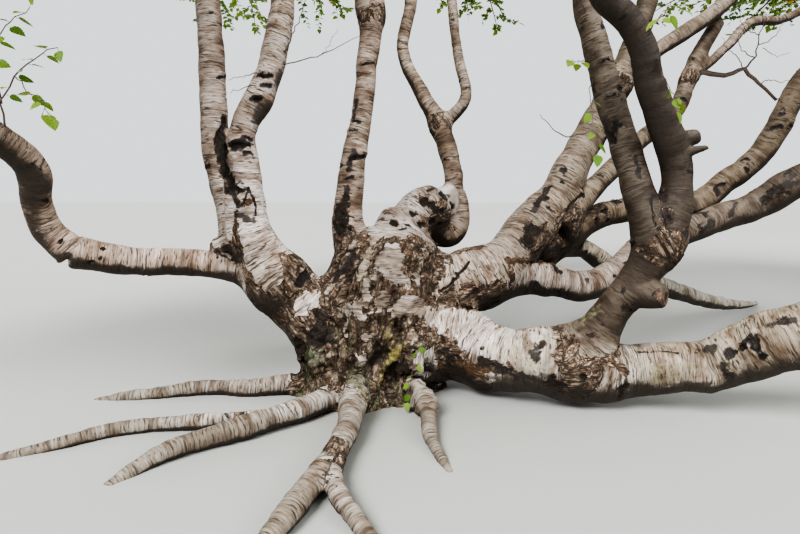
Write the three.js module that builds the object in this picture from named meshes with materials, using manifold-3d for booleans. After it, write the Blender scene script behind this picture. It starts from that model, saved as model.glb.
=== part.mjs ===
// Downy birch, an old low tree with many limbs: a short stout bole on surface roots, a fist of
// boughs that leave it near the ground, and an airy crown in masses round the tips of the boughs.
// Millimetres, +Z up. The origin is on the ground, under the middle of the bole.
// +X is to the right and +Y away from someone who stands in front of the tree.
import * as THREE from 'three';
import { mergeVertices } from 'three/addons/utils/BufferGeometryUtils.js';
import Module from 'manifold-3d';

const wasm = await Module();
wasm.setup();

// Clearance between two pieces that touch, and the fineness to which a cut solid is cleaned
const TOUCH_GAP = 0.4;
const CLEAN = 0.15;

// Facets of a limb: the half widths from which it has more sides, and how far it runs and turns
// from one ring to the next
const STOUT_LIMB = 90;
const MIDDLING_LIMB = 62;
const RING_STEP = 620;
const RING_TURN = THREE.MathUtils.degToRad(31);

// Bole: its height, its half width at the waist, how it spreads at the ground, and its lean
const BOLE = { height: 800, waist: 285, flare: 105, flareHeight: 110, shoulder: 430, lean: [150, 20] };
const BUTTRESS_BEARINGS = [-155, -114, -88, -55, -8, 36, 80, 140, 178].map(THREE.MathUtils.degToRad);
const BUTTRESS_SPREAD = 0.3;

// Foliage: how far the stem of each mass runs on before it bends, and how high it rises in its
// space; where on the stem the first and last of its twigs stand; and the sprays that they carry
const STEM = { bend: 0.8, rise: 0.55, root: 0.95, tip: 0.35 };
const TWIGS = 6;
const TWIG = { first: 0.12, last: 0.92, reach: 1000, least: 160, shrink: 40, halfWidth: 14, droop: 0.3 };
const SPRAY = { length: 620, width: 450, thick: 18, fit: 0.75, sizes: [1.1, 0.9, 0.7], sunk: 30 };
const SIDE_SPRAYS = [{ where: 0.72, hand: 1 }, { where: 0.42, hand: -1 }];
const GOLDEN_TURN = Math.PI * (3 - Math.sqrt(5));

// How far each mass stays from the plane that parts it from its neighbour
const PARTING = 25;

const bark = (color, roughness) => new THREE.MeshStandardMaterial({ color, roughness, metalness: 0 });
const BARK_DARK = bark(0x5b5048, 0.95);
const BARK_PALE = bark(0xb9aa9c, 0.8);
const BARK_ROOT = bark(0x9a8e82, 0.85);
const LEAF_GREEN = bark(0x5f8a2c, 0.7);

// Each limb has a name and a course: the places that it passes, each with its half width there.
// Surface roots leave the buttresses, lie half sunk in the ground and taper away into it.
const roots = [
  ['root_left', [
    [-240, -120, 60, 58], [-400, -160, 45, 46], [-560, -180, 36, 42], [-740, -160, 30, 38],
    [-1080, -220, 10, 30], [-1290, -230, -20, 22],
  ]],
  ['root_front_left', [
    [-130, -300, 60, 62], [-270, -510, 50, 50], [-430, -640, 44, 47], [-570, -740, 38, 43],
    [-700, -850, 26, 36], [-810, -1010, -18, 20],
  ]],
  ['root_front_left_fork', [
    [-330, -520, 40, 30], [-600, -560, 36, 29], [-960, -620, 22, 28], [-1130, -730, 14, 26],
    [-1400, -880, -18, 16],
  ]],
  ['root_front', [
    [-5, -300, 70, 66], [-20, -430, 62, 54], [-30, -700, 54, 46], [-80, -970, 46, 44],
    [-160, -1260, 34, 36], [-240, -1470, -14, 20],
  ]],
  ['root_front_fork', [
    [-55, -880, 44, 32], [-20, -1130, 38, 30], [40, -1240, 32, 28], [150, -1400, -12, 18],
  ]],
  ['root_front_right', [
    [225, -250, 72, 44], [288, -430, 42, 31], [300, -710, 24, 26], [355, -930, -12, 14],
  ]],
  ['root_back', [
    [60, 250, 60, 58], [110, 470, 42, 44], [60, 760, 30, 36], [140, 1080, -14, 22],
  ]],
  ['root_back_right', [
    [250, 180, 50, 50], [450, 320, 36, 38], [640, 520, 24, 30], [770, 770, -14, 20],
  ]],
].map(([name, course]) => ({ name, course, bark: BARK_ROOT }));

// Boughs, each listed after the limb that it grows from
const boughs = [
  // Left: a leaning stem with a narrow elbow, and a second stem pressed to its outer side
  ['bough_left', [
    [-60, -20, 210, 190], [-160, -30, 290, 160], [-320, -80, 430, 128], [-460, -110, 610, 110],
    [-550, -120, 830, 96], [-575, -120, 1060, 80], [-575, -105, 1270, 58], [-490, -70, 1450, 67],
    [-400, -20, 1750, 57], [-385, 10, 1980, 60], [-420, 60, 2500, 52], [-570, 160, 3300, 46],
    [-620, 250, 4200, 38], [-700, 330, 4900, 32],
  ]],
  ['bough_left_outer', [
    [-600, -110, 730, 60], [-655, -118, 910, 58], [-695, -120, 1150, 56], [-722, -80, 1870, 58],
    [-850, -150, 2600, 48], [-1150, -270, 3400, 38], [-1480, -370, 4150, 28],
  ]],
  // Left arm: it runs out level, then turns up in a crook, and is split at that bend
  ['arm_left_low', [
    [-420, -90, 540, 90], [-630, -100, 615, 66], [-1040, -220, 665, 62], [-1270, -355, 725, 68],
  ]],
  ['arm_left_high', [
    [-1270, -355, 725, 68], [-1345, -400, 830, 66], [-1350, -440, 950, 64], [-1320, -480, 1070, 62],
    [-1340, -540, 1150, 60], [-1550, -770, 1335, 52], [-2300, -1000, 1950, 40],
    [-2750, -1020, 2350, 32],
  ]],
  // Middle: a straight stem with a kneed foot, which forks above head height
  ['stem_middle', [
    [30, 60, 480, 100], [-80, 100, 740, 88], [-95, 112, 880, 72], [-60, 130, 1160, 60],
    [-20, 145, 1380, 53], [30, 190, 1950, 60], [60, 240, 2500, 46], [140, 290, 3300, 42],
    [190, 240, 4200, 36], [210, 160, 5000, 30],
  ]],
  ['stem_middle_side', [
    [20, 190, 1900, 44], [-70, 110, 2180, 42], [-260, -200, 2850, 38], [-450, -620, 3450, 34],
    [-600, -950, 3950, 28],
  ]],
  // Leader: broken off short, with a crooked stem that hangs from under its end and turns up
  ['leader_broken', [
    [130, 0, 520, 160], [150, 20, 670, 135], [195, 60, 790, 112], [280, 110, 880, 104],
    [385, 155, 945, 96],
  ]],
  ['crook_low', [
    [320, 140, 860, 75], [350, 152, 815, 62], [392, 170, 765, 56], [447, 190, 758, 58],
    [490, 205, 820, 60], [495, 215, 910, 56], [478, 222, 985, 50],
  ]],
  ['crook_stem', [
    [478, 222, 985, 50], [460, 240, 1140, 52], [380, 280, 1370, 46], [300, 300, 1520, 38],
    [190, 340, 1760, 35], [240, 380, 2040, 34], [150, 620, 2700, 32], [60, 900, 3400, 30],
    [-20, 1150, 4050, 26],
  ]],
  ['crook_stem_side', [
    [390, 280, 1350, 34], [480, 280, 1420, 32], [530, 280, 1500, 30], [500, 310, 1690, 28],
    [455, 350, 2030, 28], [520, 1000, 2700, 28], [600, 1700, 3100, 24],
  ]],
  // Right: the great ascending bough, and the limbs that spring from it
  ['bough_right', [
    [170, 40, 430, 180], [390, 65, 490, 150], [550, 110, 520, 130], [720, 170, 610, 112],
    [960, 290, 865, 108], [1140, 390, 1100, 96], [1380, 520, 1490, 80], [1580, 600, 1920, 60],
    [1700, 670, 2300, 54], [1950, 740, 3100, 44], [2200, 700, 3950, 34],
  ]],
  ['bough_right_outer', [
    [1440, 545, 1600, 56], [1600, 600, 1760, 46], [1830, 640, 1910, 45], [2170, 720, 2150, 44],
    [2680, 860, 2800, 38], [3000, 920, 3400, 30],
  ]],
  ['bough_right_inner', [
    [1050, 320, 800, 86], [1192, 380, 915, 64], [1352, 440, 1075, 57], [1630, 560, 1320, 50],
    [1860, 640, 1480, 48], [1940, 680, 1680, 47], [2040, 730, 1870, 46], [2150, 770, 2050, 42],
  ]],
  ['bough_right_inner_side', [
    [1945, 685, 1690, 36], [2060, 720, 1770, 28], [2200, 760, 1890, 26], [2370, 810, 2050, 26],
    [2620, 880, 2100, 26], [3000, 1150, 2300, 25], [3250, 1600, 2650, 22],
  ]],
  ['limb_right_upper', [
    [900, 300, 700, 96], [1170, 430, 765, 80], [1400, 500, 862, 76], [1670, 580, 920, 74],
    [1960, 600, 920, 72], [2200, 600, 1085, 68], [2380, 580, 1258, 66], [2560, 530, 1680, 62],
    [2900, 480, 2000, 48], [3300, 420, 2350, 38],
  ]],
  ['limb_right_middle', [
    [590, 150, 525, 100], [777, 180, 530, 90], [1006, 215, 497, 84], [1186, 250, 465, 84],
    [1333, 290, 508, 82], [1459, 330, 590, 80], [1592, 370, 675, 78], [1798, 410, 760, 76],
    [2175, 450, 888, 78], [2331, 430, 964, 84], [2459, 380, 1060, 88], [2950, 180, 1350, 66],
    [3350, -120, 1700, 46], [3600, -400, 2100, 34],
  ]],
  ['limb_right_trailing', [
    [960, 320, 620, 64], [1161, 455, 668, 60], [1298, 520, 645, 60], [1418, 575, 570, 58],
    [1650, 690, 461, 58], [2099, 950, 324, 58], [2343, 1130, 241, 54], [2678, 1400, 151, 44],
    [3080, 1750, 68, 34], [3400, 2050, 22, 20],
  ]],
  // Right, low: the heavy limb that sags along the ground, with a forking stem that stands on it
  ['limb_low', [
    [90, -20, 300, 185], [380, -60, 235, 165], [570, -150, 195, 158], [750, -230, 185, 150],
    [930, -280, 182, 142], [1310, -360, 190, 112], [1510, -400, 220, 112], [1650, -450, 278, 120],
    [1780, -530, 368, 130], [2150, -760, 640, 96], [2650, -1050, 1150, 68], [2950, -1300, 1700, 52],
    [3080, -1520, 2200, 40],
  ]],
  ['stem_right', [
    [975, -300, 220, 94], [1076, -340, 370, 82], [1200, -380, 590, 76], [1320, -400, 800, 72],
    [1360, -400, 1010, 57], [1345, -400, 1120, 58], [1310, -420, 1200, 62], [1200, -460, 1390, 54],
    [1100, -500, 1610, 51], [960, -540, 1735, 50], [760, -620, 1980, 44], [640, -720, 2500, 40],
    [650, -950, 3100, 36], [700, -1150, 3600, 30],
  ]],
  ['stem_right_inner', [
    [1300, -395, 760, 64], [1240, -370, 890, 64], [1180, -320, 1120, 65], [1090, -280, 1420, 64],
    [1040, -260, 1620, 59], [980, -240, 1830, 50], [1050, -240, 2500, 44], [1300, -300, 3300, 38],
    [1500, -320, 4100, 30],
  ]],
  // Boughs that leave the others higher up, and carry the crown out round its back and front
  ['bough_left_back', [
    [-420, 60, 2450, 44], [-700, 300, 2600, 38], [-1200, 650, 2750, 34], [-1750, 950, 3000, 28],
  ]],
  ['bough_left_front', [
    [-845, -145, 2560, 40], [-1000, -500, 2750, 34], [-1250, -1000, 2950, 30],
    [-1500, -1450, 3150, 26],
  ]],
  ['bough_front_right', [
    [640, -710, 2450, 36], [900, -1050, 2550, 34], [1300, -1450, 2750, 30], [1650, -1800, 2950, 26],
  ]],
  ['bough_back_left', [
    [150, 620, 2700, 32], [-150, 1050, 2750, 30], [-550, 1500, 2850, 28], [-850, 1900, 3000, 24],
  ]],
].map(([name, course]) => ({ name, course, bark: BARK_PALE }));

const limbs = [...roots, ...boughs];

// Masses of foliage: the bough that each continues, the middle of its space and the space's reach
const masses = [
  ['leaves_left_top', 'bough_left', [-900, 420, 5800], [1150, 1150, 1150]],
  ['leaves_left_upper', 'bough_left_outer', [-2050, -450, 4800], [1200, 1200, 1050]],
  ['leaves_left_arm', 'arm_left_high', [-3400, -950, 3050], [1150, 1200, 1050]],
  ['leaves_top', 'stem_middle', [250, 100, 6200], [1150, 1150, 1050]],
  ['leaves_front_left_upper', 'stem_middle_side', [-850, -1450, 4750], [1150, 1150, 1000]],
  ['leaves_back_upper', 'crook_stem', [-250, 1700, 4850], [1200, 1150, 1050]],
  ['leaves_back', 'crook_stem_side', [800, 2450, 3500], [1150, 1150, 1050]],
  ['leaves_right_top', 'bough_right', [2300, 650, 4850], [1150, 1150, 1050]],
  ['leaves_right_outer', 'bough_right_outer', [3300, 1050, 4350], [1100, 1150, 1050]],
  ['leaves_right_back', 'bough_right_inner_side', [3250, 2250, 3450], [1150, 1150, 1050]],
  ['leaves_right', 'limb_right_upper', [4050, 550, 3000], [1100, 1150, 1000]],
  ['leaves_right_low', 'limb_right_middle', [4050, -900, 2650], [1100, 1100, 950]],
  ['leaves_right_front', 'limb_low', [3050, -1950, 3000], [1150, 1100, 1000]],
  ['leaves_front_upper', 'stem_right', [850, -1400, 4550], [1150, 1100, 1050]],
  ['leaves_right_upper', 'stem_right_inner', [1650, -350, 5350], [1150, 1100, 1050]],
  ['leaves_left_back', 'bough_left_back', [-2350, 1300, 3600], [1150, 1150, 1050]],
  ['leaves_left_front', 'bough_left_front', [-1850, -2000, 3450], [1150, 1100, 1000]],
  ['leaves_front_right', 'bough_front_right', [1700, -2500, 3300], [1150, 1000, 950]],
  ['leaves_back_left', 'bough_back_left', [-1150, 2550, 3400], [1150, 1050, 1000]],
].map(([name, bough, centre, reach], i) => ({
  name,
  bough: boughs.find((limb) => limb.name === bough),
  centre: new THREE.Vector3(...centre),
  reach,
  seed: 401 + 17 * i,
}));

// A geometry as a solid that can be cut and joined, and back again
function solidOf(geometry) {
  geometry.deleteAttribute('normal');
  geometry.deleteAttribute('uv');
  const merged = mergeVertices(geometry, 1e-3);
  return new wasm.Manifold(new wasm.Mesh({
    numProp: 3,
    vertProperties: new Float32Array(merged.attributes.position.array),
    triVerts: new Uint32Array(merged.index.array),
  }));
}

function geometryOf(solid) {
  const mesh = solid.getMesh();
  const geometry = new THREE.BufferGeometry();
  geometry.setAttribute('position', new THREE.BufferAttribute(new Float32Array(mesh.vertProperties), 3));
  geometry.setIndex(new THREE.BufferAttribute(new Uint32Array(mesh.triVerts), 1));
  geometry.computeVertexNormals();
  return geometry;
}

// One solid cut clear of the others that it meets, with any loose scrap dropped
function cutClear(solid, others) {
  const box = solid.boundingBox();
  const meets = (other) => {
    const near = other.boundingBox();
    return [0, 1, 2].every((axis) => near.min[axis] < box.max[axis] && near.max[axis] > box.min[axis]);
  };
  const cut = others.filter(meets).reduce((rest, other) => rest.subtract(other), solid).simplify(CLEAN);
  return cut.decompose().reduce((a, b) => (b.volume() > a.volume() ? b : a));
}

// Even numbers from 0 to 1, the same at each run of the same seed
function seededRun(seed) {
  let state = seed >>> 0;
  return () => {
    state = (state + 0x6d2b79f5) >>> 0;
    let mixed = Math.imul(state ^ (state >>> 15), state | 1);
    mixed ^= mixed + Math.imul(mixed ^ (mixed >>> 7), mixed | 61);
    return ((mixed ^ (mixed >>> 14)) >>> 0) / 4294967296;
  };
}

// The line of a limb, and its half width along it
function curveOf(course) {
  const stops = course.map(([x, y, z]) => new THREE.Vector3(x, y, z));
  return new THREE.CatmullRomCurve3(stops, false, 'centripetal');
}

function halfWidthAt(course, t) {
  const i = Math.min(Math.floor(t * (course.length - 1)), course.length - 2);
  return THREE.MathUtils.lerp(course[i][3], course[i + 1][3], t * (course.length - 1) - i);
}

// Where the rings of a limb lie on its curve: closer where it turns
function ringPlaces(curve) {
  const samples = 240;
  const measure = [0];
  for (let i = 1; i <= samples; i += 1) {
    const run = curve.getPoint((i - 1) / samples).distanceTo(curve.getPoint(i / samples));
    const turn = curve.getTangent((i - 1) / samples).angleTo(curve.getTangent(i / samples));
    measure.push(measure.at(-1) + run / RING_STEP + turn / RING_TURN);
  }
  const whole = measure.at(-1);
  const rings = Math.max(3, Math.ceil(whole));
  const firstPast = (share) => measure.findIndex((m) => m >= share * whole) / samples;
  return [...Array.from({ length: rings }, (_, k) => firstPast(k / rings)), 1];
}

// How many sides a limb has
function sidesOf({ course }) {
  const stoutest = Math.max(...course.map((stop) => stop[3]));
  if (stoutest > STOUT_LIMB) return 8;
  return stoutest > MIDDLING_LIMB ? 6 : 5;
}

// A limb: a closed cylinder whose rings are laid along its course. Swollen, it is the shape by
// which its neighbours are cut clear.
function limbSolid(limb, swell = 0, sides = sidesOf(limb)) {
  const { course } = limb;
  const curve = curveOf(course);
  const places = ringPlaces(curve);
  const rings = places.length - 1;
  const frames = [];
  let heading = curve.getTangent(0);
  let normal = new THREE.Vector3(0, 0, 1).cross(heading).normalize();
  places.forEach((t, ring) => {
    const tangent = curve.getTangent(t);
    normal = normal.clone().applyQuaternion(new THREE.Quaternion().setFromUnitVectors(heading, tangent));
    heading = tangent;
    const middle = curve.getPoint(t);
    if (ring === 0) middle.addScaledVector(tangent, -swell);
    if (ring === rings) middle.addScaledVector(tangent, swell);
    const binormal = new THREE.Vector3().crossVectors(tangent, normal);
    frames.push({ middle, normal, binormal, halfWidth: halfWidthAt(course, t) + swell });
  });
  const geometry = new THREE.CylinderGeometry(1, 1, 1, sides, rings);
  const vertices = geometry.attributes.position;
  for (let i = 0; i < vertices.count; i += 1) {
    const frame = frames[Math.round((vertices.getY(i) + 0.5) * rings)];
    const point = frame.middle.clone();
    point.addScaledVector(frame.normal, vertices.getX(i) * frame.halfWidth);
    point.addScaledVector(frame.binormal, -vertices.getZ(i) * frame.halfWidth);
    vertices.setXYZ(i, point.x, point.y, point.z);
  }
  return solidOf(geometry);
}

// The bole: level sections that spread into buttresses at the ground, where the surface roots
// leave, and close in a rounded shoulder under the broken leader
function boleRadius(bearing, height) {
  const lobes = BUTTRESS_BEARINGS.reduce((sum, lobe) => {
    const apart = Math.atan2(Math.sin(bearing - lobe), Math.cos(bearing - lobe));
    return sum + Math.exp(-((apart / BUTTRESS_SPREAD) ** 2));
  }, 0);
  const spread = BOLE.flare * (0.55 + 0.5 * lobes) * Math.exp(-height / BOLE.flareHeight);
  const above = Math.max(0, (height - BOLE.shoulder) / (BOLE.height - BOLE.shoulder));
  return (BOLE.waist + spread) * Math.sqrt(Math.max(0.05, 1 - above ** 2));
}

function boleSolid(swell = 0) {
  const geometry = new THREE.CylinderGeometry(1, 1, 1, 26, 9);
  const vertices = geometry.attributes.position;
  for (let i = 0; i < vertices.count; i += 1) {
    const up = (vertices.getY(i) + 0.5) ** 1.15;
    const bearing = Math.atan2(-vertices.getZ(i), vertices.getX(i));
    const share = Math.hypot(vertices.getX(i), vertices.getZ(i));
    const out = share * (boleRadius(bearing, up * BOLE.height) + swell);
    vertices.setXYZ(
      i,
      BOLE.lean[0] * up ** 1.6 + out * Math.cos(bearing),
      BOLE.lean[1] * up + out * Math.sin(bearing),
      up * BOLE.height + swell * Math.sign(up),
    );
  }
  return solidOf(geometry);
}

// Room in a mass: a point has it inside the ellipsoid, on the mass's own side of the planes that
// part it from the other masses
function hasRoom(mass, point) {
  const out = point.clone().sub(mass.centre);
  const inside = out.toArray().reduce((sum, d, axis) => sum + (d / mass.reach[axis]) ** 2, 0) < 1;
  return inside && masses.every((other) => {
    if (other === mass) return true;
    const away = other.centre.clone().sub(mass.centre);
    const share = mass.reach[0] / (mass.reach[0] + other.reach[0]);
    return out.dot(away) < away.lengthSq() * share - PARTING * away.length();
  });
}

// Clear of the limbs: a straight piece is, where it keeps its half width away from all of them
const limbLines = limbs.map(({ course }) => {
  const curve = curveOf(course);
  const count = Math.ceil(curve.getLength() / 150);
  return Array.from({ length: count + 1 }, (_, k) => ({
    point: curve.getPoint(k / count),
    halfWidth: halfWidthAt(course, k / count),
  }));
});

function clearOfLimbs(from, to, halfWidth) {
  const probes = [0, 0.2, 0.4, 0.6, 0.8, 1].map((k) => from.clone().lerp(to, k));
  const nearest = new THREE.Vector3();
  return limbLines.every((line) => line.slice(1).every((end, k) => {
    const piece = new THREE.Line3(line[k].point, end.point);
    return probes.every((probe) => {
      piece.closestPointToPoint(probe, true, nearest);
      return nearest.distanceTo(probe) > line[k].halfWidth + halfWidth;
    });
  }));
}

// The growth of a mass: one stem runs on from the bough's tip and bends up, twigs leave it at the
// golden turn and rise more the higher they stand, and each carries a spray of leaves at its tip
// and one on either side
function growthOf(mass) {
  const random = seededRun(mass.seed);
  const stops = mass.bough.course;
  const tip = new THREE.Vector3(...stops.at(-1).slice(0, 3));
  const heading = tip.clone().sub(new THREE.Vector3(...stops.at(-2).slice(0, 3))).normalize();
  const bend = tip.clone().addScaledVector(heading, STEM.bend * tip.distanceTo(mass.centre));
  const top = mass.centre.clone().add(new THREE.Vector3(0, 0, STEM.rise * mass.reach[2]));
  const stem = new THREE.QuadraticBezierCurve3(tip, bend, top);
  const twigs = [];
  const sprays = [];
  const addSpray = (root, along, sunk) => {
    const facing = new THREE.Vector3(random() - 0.5, random() - 0.5, 0.6 * random()).normalize();
    const across = new THREE.Vector3().crossVectors(facing, along).normalize();
    const fits = (size) => {
      const end = root.clone().addScaledVector(along, size * SPRAY.length);
      const middle = root.clone().lerp(end, 0.5);
      const halfWidth = 0.5 * size * SPRAY.width;
      const sides = [-halfWidth, halfWidth].map((w) => middle.clone().addScaledVector(across, w));
      const inRoom = [end, ...sides].every((corner) => hasRoom(mass, corner));
      return inRoom && clearOfLimbs(root.clone().lerp(end, 0.1), end, 0.3 * size * SPRAY.width);
    };
    const size = SPRAY.sizes.map((scale) => scale * (0.9 + 0.2 * random())).find(fits);
    if (size) sprays.push({ root, along, across, size, sunk });
  };
  for (let i = 0; i < TWIGS; i += 1) {
    const share = THREE.MathUtils.lerp(TWIG.first, TWIG.last, i / (TWIGS - 1));
    const turn = i * GOLDEN_TURN + 0.8 * random();
    const rise = 0.3 * random() + 0.5 * share;
    const upward = stem.getTangent(share);
    const along = new THREE.Vector3(Math.cos(turn), Math.sin(turn), 0);
    along.addScaledVector(upward, -along.dot(upward)).normalize().addScaledVector(upward, rise);
    along.z -= TWIG.droop * (1 - share);
    along.normalize();
    const root = stem.getPoint(share);
    const out = (run) => root.clone().addScaledVector(along, run);
    const leafy = SPRAY.fit * SPRAY.length;
    let length = TWIG.reach * (0.85 + 0.3 * random());
    while (length > TWIG.least && !hasRoom(mass, out(length + leafy))) length -= TWIG.shrink;
    if (length > TWIG.least && clearOfLimbs(out(80), out(length), 2 * TWIG.halfWidth)) {
      twigs.push({ root, along, length, halfWidth: TWIG.halfWidth * (1 - 0.33 * share) });
      addSpray(out(length), along, SPRAY.sunk);
      const flat = new THREE.Vector3().crossVectors(along, new THREE.Vector3(0, 0, 1)).normalize();
      SIDE_SPRAYS.forEach(({ where, hand }) => {
        const leaves = along.clone().addScaledVector(flat, hand * (0.9 + 0.5 * random()));
        leaves.z += 0.5 - random();
        addSpray(out(length * where), leaves.normalize(), SPRAY.sunk / 6);
      });
    }
  }
  addSpray(top, stem.getTangent(1), SPRAY.sunk);
  const course = [0, 0.3, 0.65, 1].map((share) => (
    [...stem.getPoint(share).toArray(), stops.at(-1)[3] * THREE.MathUtils.lerp(STEM.root, STEM.tip, share)]
  ));
  return { stem: { course }, twigs, sprays };
}

// A straight three-sided twig, with its root sunk in the stem
function twigSolid({ root, along, length, halfWidth }) {
  const geometry = new THREE.CylinderGeometry(halfWidth / 2, halfWidth, length, 3);
  geometry.translate(0, length / 2, 0);
  geometry.applyQuaternion(new THREE.Quaternion().setFromUnitVectors(new THREE.Vector3(0, 1, 0), along));
  return solidOf(geometry.translate(root.x, root.y, root.z));
}

// A spray of leaves, as one thin pointed blade of eight faces with its root sunk in its twig
function spraySolid({ root, along, across, size, sunk }) {
  const up = new THREE.Vector3().crossVectors(along, across);
  const geometry = new THREE.OctahedronGeometry(0.5);
  geometry.scale(size * SPRAY.length, size * SPRAY.width, SPRAY.thick);
  geometry.translate(size * SPRAY.length * 0.5 - sunk, 0, 0);
  geometry.applyMatrix4(new THREE.Matrix4().makeBasis(along, across, up).setPosition(root));
  return solidOf(geometry);
}

function massSolid(mass) {
  const { stem, twigs, sprays } = growthOf(mass);
  return wasm.Manifold.union([limbSolid(stem, 0, 3), ...twigs.map(twigSolid), ...sprays.map(spraySolid)]);
}

const tree = new THREE.Group();

function stand(name, solid, material) {
  const mesh = new THREE.Mesh(geometryOf(solid), material);
  mesh.name = name;
  tree.add(mesh);
}

const underGround = solidOf(new THREE.BoxGeometry(12000, 12000, 1000).translate(0, 0, -500));
const standing = [boleSolid(TOUCH_GAP), underGround];
stand('trunk', boleSolid(), BARK_DARK);
limbs.forEach((limb) => {
  stand(limb.name, cutClear(limbSolid(limb), standing), limb.bark);
  standing.push(limbSolid(limb, TOUCH_GAP));
});
masses.forEach((mass) => stand(mass.name, cutClear(massSolid(mass), standing), LEAF_GREEN));

export default tree;
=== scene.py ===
"""Downy birch: an old low tree with many limbs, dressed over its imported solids. Metres, +Z up.

The order is the tree's own: the camera, the wood with its marks of age and its bark, the foliage,
the low shoots and dead twigs, and last the floor and the light that it stands in.
"""

import math

import bpy
import numpy as np
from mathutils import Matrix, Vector
from mathutils.kdtree import KDTree


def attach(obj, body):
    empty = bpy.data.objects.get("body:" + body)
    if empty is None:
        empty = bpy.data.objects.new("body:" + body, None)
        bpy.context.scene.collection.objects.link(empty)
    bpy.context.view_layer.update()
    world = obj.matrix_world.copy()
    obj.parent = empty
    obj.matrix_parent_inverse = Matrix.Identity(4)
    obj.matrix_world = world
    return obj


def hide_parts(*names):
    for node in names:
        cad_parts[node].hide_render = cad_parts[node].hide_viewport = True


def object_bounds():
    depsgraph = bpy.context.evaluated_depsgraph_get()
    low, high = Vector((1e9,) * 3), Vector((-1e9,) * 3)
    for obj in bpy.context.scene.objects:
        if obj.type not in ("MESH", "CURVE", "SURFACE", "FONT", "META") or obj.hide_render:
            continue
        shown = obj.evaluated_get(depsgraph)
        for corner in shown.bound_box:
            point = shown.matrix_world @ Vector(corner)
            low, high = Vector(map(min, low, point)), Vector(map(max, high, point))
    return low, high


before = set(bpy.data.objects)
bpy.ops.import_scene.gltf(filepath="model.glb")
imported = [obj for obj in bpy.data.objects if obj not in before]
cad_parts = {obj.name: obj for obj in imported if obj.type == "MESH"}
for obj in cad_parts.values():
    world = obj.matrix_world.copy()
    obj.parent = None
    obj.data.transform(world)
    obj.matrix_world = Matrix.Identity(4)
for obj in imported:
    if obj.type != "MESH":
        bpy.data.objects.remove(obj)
cad_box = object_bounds()
scene = bpy.context.scene


# Camera: a wide lens held low, a few strides from the bole and tipped down a little, at the angle
# of the photograph.
bpy.ops.object.select_all(action="DESELECT")
bpy.ops.object.camera_add(location=(0.177, -2.70, 0.95), rotation=(math.radians(82.84), 0, 0))
camera = bpy.context.object
camera.name = "camera"
camera.data.lens = 24
camera.data.sensor_width = 36
camera.data.clip_start = 0.05
camera.data.clip_end = 200
scene.camera = camera


# Wood: the bole, the surface roots that run from its buttresses, and every bough. All of it is one
# grown body with no joints. Each limb is laid along its course, all are fused into one skin, and
# the skin gets the bark's relief before it is parted into the pieces that the solids name.
# A course has the places that a limb passes and its half width there, in millimetres.
ROOTS = {
    "root_left": [
        (-240, -120, 60, 58), (-400, -160, 45, 46), (-560, -180, 36, 42), (-740, -160, 30, 38),
        (-1080, -220, 10, 30), (-1290, -230, -20, 22)],
    "root_front_left": [
        (-130, -300, 60, 62), (-270, -510, 50, 50), (-430, -640, 44, 47), (-570, -740, 38, 43),
        (-700, -850, 26, 36), (-810, -1010, -18, 20)],
    "root_front_left_fork": [
        (-330, -520, 40, 30), (-600, -560, 36, 29), (-960, -620, 22, 28), (-1130, -730, 14, 26),
        (-1400, -880, -18, 16)],
    "root_front": [
        (-5, -300, 70, 66), (-20, -430, 62, 54), (-30, -700, 54, 46), (-80, -970, 46, 44),
        (-160, -1260, 34, 36), (-240, -1470, -14, 20)],
    "root_front_fork": [
        (-55, -880, 44, 32), (-20, -1130, 38, 30), (40, -1240, 32, 28), (150, -1400, -12, 18)],
    "root_front_right": [
        (225, -250, 72, 44), (288, -430, 42, 31), (300, -710, 24, 26), (355, -930, -12, 14)],
    "root_back": [(60, 250, 60, 58), (110, 470, 42, 44), (60, 760, 30, 36), (140, 1080, -14, 22)],
    "root_back_right": [
        (250, 180, 50, 50), (450, 320, 36, 38), (640, 520, 24, 30), (770, 770, -14, 20)],
}
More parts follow.
